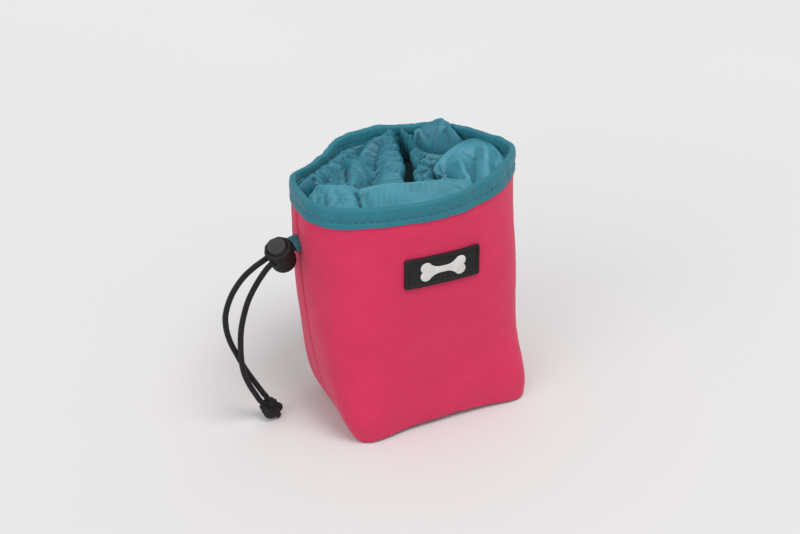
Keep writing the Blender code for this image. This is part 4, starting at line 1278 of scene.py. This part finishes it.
def make_back_gusset():
    """The collar behind the mouth, which hangs in gathers under the band."""
    rows = []
    for i in range(71):
        bearing = math.radians(46.0 + 58.0 * i / 70)
        low = band_low(bearing)
        gather = 1.4 * abs(math.sin(i * 0.55 + noise.noise(Vector((i / 5.0, 3.0, 0.0)))))
        hang = ((1.9, low + 1.2), (2.4, low - 0.6), (3.2, 129.5), (4.0, 126.5), (4.4, 123.0), (4.2, 119.0))
        rows.append([rim_edge(bearing, inset + gather * smooth(131.0, 124.0, z), z) for inset, z in hang])
    us, vs = reached(rows[35]), reached([row[3] for row in rows])
    # The darker copy of the collar cloth, painted shade.
    gusset = make_grid("collar_back", rows, us, vs, TEAL)
    thicken(gusset, NYLON)
    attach(gusset, "pouch")


def make_hidden_cord():
    """The drawcord in the collar's hem, and its two ends on their way to the sleeve."""
    for name, body, side in (("cord_in_hem_left", "mouth_left", -1), ("cord_in_hem_right", "mouth_right", 1)):
        course = (
            (4.0, -MOUTH_STRAIGHT - 6.0, 121.8), (6.6, -MOUTH_STRAIGHT - 2.0, 122.4),
            *((MOUTH_RADIUS, along, 123.0) for along in (-14.0, -7.0, 0.0, 7.0, 14.0)),
            (6.6, MOUTH_STRAIGHT + 2.0, 123.4), (4.0, MOUTH_STRAIGHT + 6.0, 123.8),
        )
        route = [mouth_point(side * across, along, z) for across, along, z in course]
        cord = make_tube(name, smooth_route(route, 70), CORD, 16)
        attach(cord, body)
        if side < 0:
            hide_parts("drawcord_loop")
    for name, side in (("cord_tail_back", -1), ("cord_tail_front", 1)):
        route = [
            strand_start(side, CORD_SPLIT - 0.6),
            strand_start(side, SLEEVE_INNER_END),
            Vector((-46.0, 1.5 - side * 2.6, 114.4)),
            Vector((-30.0, 3.4 - side * 2.8, 117.6)),
            mouth_point(-16.0, -side * 3.0, 119.4),
            mouth_point(-9.6, -side * 4.6, 120.4),
            mouth_point(-MOUTH_RADIUS + 0.4, -side * 8.6, 121.4),
        ]
        tail = make_tube(name, smooth_route(route, 90), CORD, 16)
        start, end = Vector((-46.0, 0.0, 114.0)), mouth_point(-11.0, 0.0, 120.0)
        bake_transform(tail)


# ---------------------------------------------------------------- camera, light and floor

CAMERA_TURN, CAMERA_RISE, CAMERA_ROLL = (math.radians(angle) for angle in (-21.4, 31.5, 3.2))
CAMERA_TARGET = Vector((-8.0, 0.0, 79.3))
CAMERA_DISTANCE = 975.0
FLOOR_SIDE = 4000.0
WORLD_LIGHT = 0.66
# Name, direction it shines from, how wide it is in degrees, and its strength.
LAMPS = (("key", (0.20, -0.60, 1.20), 26.0, 1.60), ("fill", (-1.0, -0.6, 0.75), 50.0, 0.80))


def make_camera():
    level = math.cos(CAMERA_RISE)
    back = Vector((math.sin(CAMERA_TURN) * level, -math.cos(CAMERA_TURN) * level, math.sin(CAMERA_RISE)))
    right = Vector((math.cos(CAMERA_TURN), math.sin(CAMERA_TURN), 0.0))
    up = back.cross(right)
    across = right * math.cos(CAMERA_ROLL) - up * math.sin(CAMERA_ROLL)
    upward = right * math.sin(CAMERA_ROLL) + up * math.cos(CAMERA_ROLL)
    camera = link("camera", bpy.data.cameras.new("camera"))
    camera.data.lens = 85.0
    camera.data.sensor_width = 36.0
    camera.data.clip_start = 0.05
    matrix = Matrix((across, upward, back)).transposed().to_4x4()
    matrix.translation = (CAMERA_TARGET + back * CAMERA_DISTANCE) * MM
    camera.matrix_world = matrix
    bpy.context.scene.camera = camera


def make_stage():
    """The camera at the viewing angle, a pale floor and soft light from above."""
    make_camera()
    recipe = Recipe("pale_floor", 0.9, specular=0.1)
    speck = recipe.noise(recipe.object_place(), 3.0, 2.0)
    recipe.paint(recipe.colours(speck, ((0.3, (0.65, 0.65, 0.65)), (0.7, (0.665, 0.665, 0.665)))))
    turns = ((-1, -1), (1, -1), (1, 1), (-1, 1))
    corners = [Vector((x * FLOOR_SIDE, y * FLOOR_SIDE, 0.0)) for x, y in turns]
    floor = make_mesh("floor", corners, [(0, 1, 2, 3)], recipe.material)

    world = bpy.data.worlds.new("studio")
    bpy.context.scene.world = world
    world.use_nodes = True
    shade = world.node_tree.nodes["Background"]
    shade.inputs["Color"].default_value = (1.0, 1.0, 1.0, 1.0)
    shade.inputs["Strength"].default_value = WORLD_LIGHT
    for name, place, width, power in LAMPS:
        light = bpy.data.lights.new(name, "SUN")
        light.angle = math.radians(width)
        light.energy = power
        lamp = link(name, light)
        lamp.location = place
        lamp.rotation_mode = "QUATERNION"
        lamp.rotation_quaternion = (-lamp.location).to_track_quat("-Z", "Y")
    bpy.context.scene.view_settings.view_transform = "Standard"


# ---------------------------------------------------------------- the drawcord and its lock

LOCK_SIDE = BARREL_UP.cross(CORD_OUT).normalized()
LOCK_AXIS = CORD_OUT.cross(LOCK_SIDE).normalized()
LOCK_PIVOT = LOCK_CENTRE - LOCK_AXIS * CORD_BEND
# The barrel's own axes.
LOCK_PLACE = Matrix((CORD_OUT, LOCK_SIDE, LOCK_AXIS)).transposed().to_4x4()
LOCK_PLACE.translation = LOCK_CENTRE


def cord_frame(distance):
    """The middle of the two strands near the lock: an arc, and straight inside the sleeve."""
    turn = max(distance, SLEEVE_OUTER_END) / CORD_BEND
    along = CORD_OUT * math.cos(turn) - LOCK_AXIS * math.sin(turn)
    rise = LOCK_AXIS * math.cos(turn) + CORD_OUT * math.sin(turn)
    point = LOCK_PIVOT + rise * CORD_BEND
    if distance < SLEEVE_OUTER_END:
        point += along * (distance - SLEEVE_OUTER_END)
    return point, LOCK_SIDE, rise


def strand_start(side, distance):
    point, sideways, _ = cord_frame(distance)
    return point + sideways * side * CORD_SPACING


def make_strands():
    """The two free strands, from the sleeve through the lock to the knot."""
    for name, side in (("drawcord_strand_back", -1), ("drawcord_strand_front", 1)):
        knots = [strand_start(side, distance) for distance in (CORD_SPLIT, -7.0, 0.0, 7.0)]
        knots += [Vector(point) for point in STRAND_ROUTES[name]]
        knots.append(KNOT_CENTRE + Vector((1.4 * side - 0.5, -0.8 * side, 1.5)))
        route = smooth_route(knots, 260)
        strand = make_tube(name.replace("drawcord", "cord"), route, CORD)
        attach(strand, "pouch")
        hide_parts(name)
        path = [tuple(point * MM) for point in route]
        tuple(path[0])
        reached(route)[-1] * MM


def knot_course(shift, spin):
    """One strand's way round the knot: a trefoil, drawn up tight."""
    loop = []
    for i in range(96):
        t = 2 * math.pi * i / 96
        x, y, z = math.sin(t) + 2 * math.sin(2 * t), math.cos(t) - 2 * math.cos(2 * t), -math.sin(3 * t)
        point = Vector((x * 1.46, y * 1.32, z * 2.75))
        point.rotate(Matrix.Rotation(spin, 3, "Z"))
        point.rotate(Matrix.Rotation(math.radians(62.0), 3, "X"))
        point.rotate(Matrix.Rotation(math.radians(25.0), 3, "Z"))
        loop.append(KNOT_CENTRE + point + Vector((shift + 0.7, 0.3 * shift - 1.0, 0.7)))
    return loop + loop[:2]


def make_knot():
    """An overhand knot tied in both strands at once, with two short cut ends."""
    ends = (
        (Vector((-80.2, 11.2, 4.6)), Vector((-78.6, 9.8, 2.6)), Vector((-77.4, 8.6, 1.9))),
        (Vector((-82.0, 12.6, 4.0)), Vector((-80.2, 14.0, 2.2)), Vector((-79.0, 15.2, 1.8))),
    )
    strands = ((-0.55, 0.0), (0.55, 0.75))
    pieces = [make_tube("knot", knot_course(shift, spin), CORD, 16) for shift, spin in strands]
    pieces += [make_tube("knot_end", smooth_route(end, 14), CORD, 16, 1.35) for end in ends]
    knot = join_pieces("drawcord_knot", pieces)
    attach(knot, "pouch")
    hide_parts("end_knot")


def slot_cutter(side, low, high):
    """A cutter along the barrel's cord direction, its section a slot."""
    section = []
    for centre, start in ((high, 0.0), (low, math.pi)):
        for i in range(13):
            turn = start + math.pi * i / 12
            section.append((CORD_HOLE * math.cos(turn), centre + CORD_HOLE * math.sin(turn)))
    rows = [
        [LOCK_PLACE @ Vector((x, side * CORD_SPACING + y, z)) for y, z in section] for x in (-14.0, 14.0)
    ]
    us = list(range(len(section) + 1))
    return make_grid("cutter", rows, us, (0, 1), BLACK_PLASTIC, loop_columns=True, caps=True)


def make_barrel():
    """The lock's barrel, a turned cup with ten facets round its shoulder."""
    plain = [
        (0.6, LOCK_BOTTOM - 1.1), (3.4, LOCK_BOTTOM - 1.05), (5.0, LOCK_BOTTOM - 0.6),
        (5.9, LOCK_BOTTOM + 0.2), (6.4, LOCK_BOTTOM + 1.4), (6.7, LOCK_BOTTOM + 3.4), (6.8, 0.4), (6.85, 1.0),
    ]
    faceted = [(7.1, 1.7), (7.2, 2.0), (7.15, LOCK_TOP - 1.0), (7.0, LOCK_TOP - 0.5), (6.6, LOCK_TOP - 0.1)]
    bore = [
        (6.2, LOCK_TOP), (LOCK_BORE + 0.35, LOCK_TOP), (LOCK_BORE, LOCK_TOP - 0.35),
        (LOCK_BORE, LOCK_BOTTOM + 1.5), (0.6, LOCK_BOTTOM + 1.3),
    ]
    sides, facets = 96, 10
    turns = [2 * math.pi * k / sides for k in range(sides)]
    rows = []
    for radius, height in plain + faceted + bore:
        row = []
        for turn in turns:
            flat = math.cos(math.pi / facets) / math.cos(math.remainder(turn, 2 * math.pi / facets))
            reach = radius * (flat + 0.012) if (radius, height) in faceted else radius
            row.append(LOCK_PLACE @ Vector((reach * math.cos(turn), reach * math.sin(turn), height)))
        rows.append(row)
    us = [0.4 * k for k in range(sides + 1)]
    vs = [float(i) for i in range(len(rows) + 1)]
    return make_grid("lock_barrel", rows, us, vs, BLACK_PLASTIC, loop_rows=True, loop_columns=True)


def make_lock():
    """The barrel and its sprung button, both bored for the two strands."""
    housing = make_barrel()
    edge = (
        (0.0, -1.1), (0.12, -0.6), (0.45, -0.2), (0.9, 0.0), (1.3, -0.05), (1.6, -0.22),
    )
    plunger = [(0.4, PLUNGER_FOOT), (BUTTON_RADIUS, PLUNGER_FOOT + 0.1)]
    plunger += [(BUTTON_RADIUS - inset, BUTTON_TOP + rise) for inset, rise in edge]
    plunger += [(1.6, BUTTON_TOP - 0.3), (0.4, BUTTON_TOP - 0.32)]
    button = make_turned("lock_plunger", plunger, 72, GREY_PLASTIC, LOCK_PLACE)
    for side in (-1, 1):
        cut(housing, slot_cutter(side, -0.2, 0.0))
        cut(button, slot_cutter(side, -0.1, BUTTON_TRAVEL))
    for thing, node, body, slot in (
        (housing, "lock_housing", "lock", "moulding"),
        (button, "lock_button", "button", "button"),
    ):
        thing.data.set_sharp_from_angle(angle=math.radians(38.0))
        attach(thing, body)
        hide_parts(node)


def make_spring():
    """The coil under the button, made at its resting length; the real coil shortens as the button is pressed.
    """
    low, high = LOCK_BOTTOM + 1.8 + SPRING_WIRE, PLUNGER_FOOT - GAP - SPRING_WIRE
    steps = 96
    route = []
    for i in range(steps + 1):
        turn = 2 * math.pi * SPRING_TURNS * i / steps
        x, y = SPRING_RADIUS * math.cos(turn), SPRING_RADIUS * math.sin(turn)
        route.append(LOCK_PLACE @ Vector((x, y, low + (high - low) * i / steps)))
    coil = make_tube("lock_coil", route, STEEL, 12, SPRING_WIRE, 0.0)
    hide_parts("lock_spring")
    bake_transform(coil)


def make_sleeve():
    """The short gathered sleeve of trim cloth at the side seam."""
    sides = 72
    stations = (
        (0.0, 0.0), (0.3, 0.2), (0.6, 0.1), (0.85, 0.25), (0.97, 0.3), (1.0, 0.0), (0.97, -0.5),
        (0.7, -0.6), (0.0, -0.6),
    )
    rows = []
    for part, out in stations:
        distance = SLEEVE_INNER_END + (SLEEVE_OUTER_END - SLEEVE_INNER_END) * part
        point, sideways, rise = cord_frame(distance)
        row = []
        for turn in (2 * math.pi * k / sides for k in range(sides)):
            ripple = out + 0.22 * math.sin(9 * turn + 2.0 * part) * part
            wide, tall = SLEEVE_SIDE - 0.5 + ripple, SLEEVE_RISE + 0.1 + ripple
            row.append(point + sideways * wide * math.cos(turn) + rise * tall * math.sin(turn))
        rows.append(row)
    us = [0.4 * k for k in range(sides + 1)]
    vs = [9.0 * part for part, _ in stations]
    sleeve = make_grid("cord_sleeve", rows, us, vs, TEAL_SLEEVE, loop_columns=True)
    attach(sleeve, "pouch")
    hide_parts("exit_sleeve")


# ---------------------------------------------------------------- label


def label_point(u, v, outset):
    """A point over the label, across and up from its middle, standing off the front."""
    x = LABEL_CENTRE[0] + u * math.cos(LABEL_TURN) - v * math.sin(LABEL_TURN)
    z = LABEL_CENTRE[1] + u * math.sin(LABEL_TURN) + v * math.cos(LABEL_TURN)
    return face_point(x, z, -1, outset)


def label_height(depth):
    """The label's face over its base, by the distance in from its edge."""
    rim = LABEL * smooth(-0.05, 0.45, depth)
    field = 0.62 * smooth(1.5, 1.95, depth)
    groove = 0.22 * bump(depth, 2.35, 0.28)
    bead = 0.10 * bump(depth, 3.1, 0.25)
    return rim - field - groove + bead


def make_label():
    """The rubber label, its border raised round a stitched groove."""

    def face(u, v, depth):
        pull = min(1.0, 1 + depth / max(abs(u), abs(v), 1.0)) if depth < 0 else 1.0
        return label_point(u * pull, v * pull, GAP + (label_height(depth) if depth > 0 else 0.0))

    patch = make_tile("label", LABEL_SIZE, (205, 85), LABEL_CORNER, face, RUBBER)
    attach(patch, "pouch")
    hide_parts("label_patch")
    across, tall = (side / 2 - LABEL_STITCH_INSET for side in LABEL_SIZE)
    counts = [round(2 * half / LABEL_STITCH_PITCH) for half in (across, tall)]
    groove = GAP + label_height(LABEL_STITCH_INSET) - 0.02
    stitches = stitch_box(
        "label_stitches", across, tall, counts, lambda u, v: label_point(u, v, groove),
        Vector((0.0, -1.0, 0.0)), 1.55, 0.17, BLACK_THREAD,
    )
    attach(stitches, "pouch")


def bone_outline(half_length, knob, shaft, steps=14):
    """A bone seen from the side: four round knobs and a waisted shaft."""
    centre_u, centre_v = half_length - knob, knob * 0.78
    corner = []
    meet = math.acos(centre_v / knob)
    for i in range(steps + 1):
        turn = math.radians(-90.0) + meet + (math.radians(212.0) - meet) * i / steps
        corner.append((centre_u + knob * math.cos(turn), centre_v + knob * math.sin(turn)))
    last_u, last_v = corner[-1]
    for part in (i / 8 for i in range(1, 9)):
        corner.append((last_u * (1 - part), shaft + (last_v - shaft) * (1 - part) ** 3))
    top = corner + [(-u, v) for u, v in reversed(corner[:-1])]
    bottom = [(u, -v) for u, v in reversed(top)]
    return top + bottom[1:-1]


def make_emblem():
    """A raised, printed bone in the middle of the label."""
    outline = bone_outline(12.2, 3.0, 1.75)
    floor = GAP + label_height(8.0) - 0.03
    count = len(outline)
    points = []
    steps = ((-0.05, 0.0), (0.0, 0.22), (0.12, 0.38), (0.32, 0.42))
    for shrink, rise in steps:
        for i, (u, v) in enumerate(outline):
            before, after = outline[i - 1], outline[(i + 1) % count]
            along = Vector((after[0] - before[0], after[1] - before[1])).normalized()
            points.append(label_point(u - along.y * shrink, v + along.x * shrink, floor + rise))
    faces = []
    for first in range(0, (len(steps) - 1) * count, count):
        for i in range(count):
            a, b = first + i, first + (i + 1) % count
            faces.append((a, b, b + count, a + count))
    faces.append(tuple(range(len(points) - count, len(points))))
    emblem = make_mesh("label_bone", points, faces, PRINT)
    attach(emblem, "pouch")
    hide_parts("label_emblem")


# ---------------------------------------------------------------- belt clip on the back

# Half widths up the riveted leg, which has an ear at each side.
LEG = (
    (-23.0, 8.6), (-22.2, 9.6), (-21.0, 10.0), (-15.0, 10.0), (-8.6, 10.0), (-7.2, 10.5), (-6.0, 12.5),
    (-5.2, 15.5), (-4.4, 17.2), (-3.2, 17.9), (-1.5, 18.0), (1.5, 18.0), (3.2, 17.9), (4.4, 17.2),
    (5.2, 15.5), (6.0, 12.5), (7.2, 10.5), (8.6, 10.0), (14.0, 10.0), (19.0, 10.0), (22.0, 10.0),
)
# The tongue from the bend down: how far it comes in, its height, and how much narrower it is.
TONGUE = (
    (0.0, CLIP_REACH - 1.0, 0.0), (0.0, 14.0, 0.0), (0.0, 6.0, 0.0), (0.0, 1.5, 0.0), (1.2, -4.0, 0.3),
    (2.8, -9.5, 0.7), (4.2, -14.0, 1.0), (4.4, -17.0, 1.4), (3.6, -19.6, 1.9), (2.6, -22.0, 2.6),
    (1.9, -23.6, 4.4), (1.7, -24.0, 6.0),
)


def clip_frame():
    """The clip's own directions at the patch's outer face: across, outwards, up the back."""
    x, z = BACK_CENTRE
    low, high = face_point(x, z - CLIP_REACH, 1, 0.0), face_point(x, z + CLIP_REACH, 1, 0.0)
    slope = math.atan2(high.y - low.y, high.z - low.z)
    return Matrix.Translation(face_point(x, z, 1, 2 * GAP + PATCH)) @ Matrix.Rotation(-slope, 4, "X")


def make_patch():
    """A square of webbing with turned edges and a box of stitches."""
    x, z = BACK_CENTRE

    def face(u, v, depth):
        height = PATCH * smooth(-0.1, 0.6, depth) - 0.28 * bump(depth, PATCH_STITCH_INSET, 0.5)
        height += 0.08 * noise.noise(Vector((u / 5.0, v / 5.0, 0.0)))
        return face_point(x + u, z + v, 1, 0.05 + max(0.0, height))

    patch = make_tile("clip_patch", PATCH_SIZE, (84, 120), 0.8, face, WEBBING)
    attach(patch, "pouch")
    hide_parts("back_patch")
    across, tall = (side / 2 - PATCH_STITCH_INSET for side in PATCH_SIZE)
    stitches = stitch_box(
        "patch_stitches", across, tall, (13, 19), lambda u, v: face_point(x + u, z + v, 1, PATCH - 0.2),
        Vector((0.0, 1.0, 0.0)), 2.0, 0.24, PINK_THREAD,
    )
    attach(stitches, "pouch")


def strip_section(half, thick, edge):
    """A strip's section with its corners taken off, as (across, outwards)."""
    top = [(-half + edge, thick)] + [(half * part, thick) for part in (-0.8, -0.5, 0.0, 0.5, 0.8)]
    top += [(half - edge, thick), (half, thick - edge), (half, edge - thick)]
    return top + [(-x, -y) for x, y in top]


def make_strip(name, course, place, material):
    """A bent steel strip with rounded edges. The course lists (outwards, up, half width)."""
    middles = [Vector((0.0, out, up)) for out, up, _ in course]
    rows = []
    for i, middle in enumerate(middles):
        along = (middles[min(i + 1, len(middles) - 1)] - middles[max(i - 1, 0)]).normalized()
        out = Vector((1.0, 0.0, 0.0)).cross(along)
        section = strip_section(course[i][2], CLIP_STEEL / 2, 0.30)
        rows.append([place @ (middle + Vector((x, 0.0, 0.0)) + out * rise) for x, rise in section])
    us = [1.5 * k for k in range(len(rows[0]) + 1)]
    strip = make_grid(name, rows, us, reached(middles), material, loop_columns=True, caps=True)
    strip.data.set_sharp_from_angle(angle=math.radians(60.0))
    return strip


def make_clip():
    """One strip of spring steel, riveted by its ears and bent over into the tongue."""
    clip = clip_frame()
    middle = CLIP_STEEL / 2
    far = middle + 2 * CLIP_BEND
    course = [(middle, up, half) for up, half in LEG]
    for turn in (math.pi * i / 24 for i in range(25)):
        out, up = middle + CLIP_BEND * (1 - math.cos(turn)), CLIP_REACH + CLIP_BEND * math.sin(turn)
        course.append((out, up, CLIP_HALF))
    knots = [Vector((far - come_in, up, CLIP_HALF - narrower)) for come_in, up, narrower in TONGUE]
    course += [tuple(point) for point in smooth_route(knots, 60)]
    strip = make_strip("belt_clip", course, clip, STEEL)
    head = CLIP_STEEL + 0.02
    brim = ((0.1, -0.55), (0.0, 0.12), (0.12, 0.4), (0.6, 0.8), (1.4, 1.12), (2.4, 1.26))
    dome = [(0.3, head - 0.6)] + [(RIVET_HEAD - inset, head + rise) for inset, rise in brim]
    dome.append((0.3, head + 1.3))
    for name, node, side in (("rivet_dome_left", "rivet_left", -1), ("rivet_dome_right", "rivet_right", 1)):
        turned = clip @ Matrix.Rotation(math.radians(-90), 4, "X")
        turned = turned @ Matrix.Translation((side * RIVET_SPACING, 0.0, 0.0))
        rivet = make_turned(name, dome, 48, STEEL, turned, 60.0)
        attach(rivet, "pouch")
        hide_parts(node)
    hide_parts("clip_plate", "clip_tongue")
    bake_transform(strip)


def dress_frame():
    """A better finish on the one piece of the frame's that stays."""
    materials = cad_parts["clip_backing"].data.materials
    materials.clear()
    materials.append(BLACK_PLASTIC)


make_stage()
make_strands()
make_knot()
make_walls()
make_floor_panel("floor_cloth", "base_panel", 0.9, 1.2, PINK)
make_floor_panel("floor_lining", "liner_base", 3.6, 2.2, LINING)
make_liner()
make_binding()
make_collar()
make_back_gusset()
make_hidden_cord()
make_lock()
make_spring()
make_sleeve()
make_label()
make_emblem()
make_patch()
make_clip()
dress_frame()
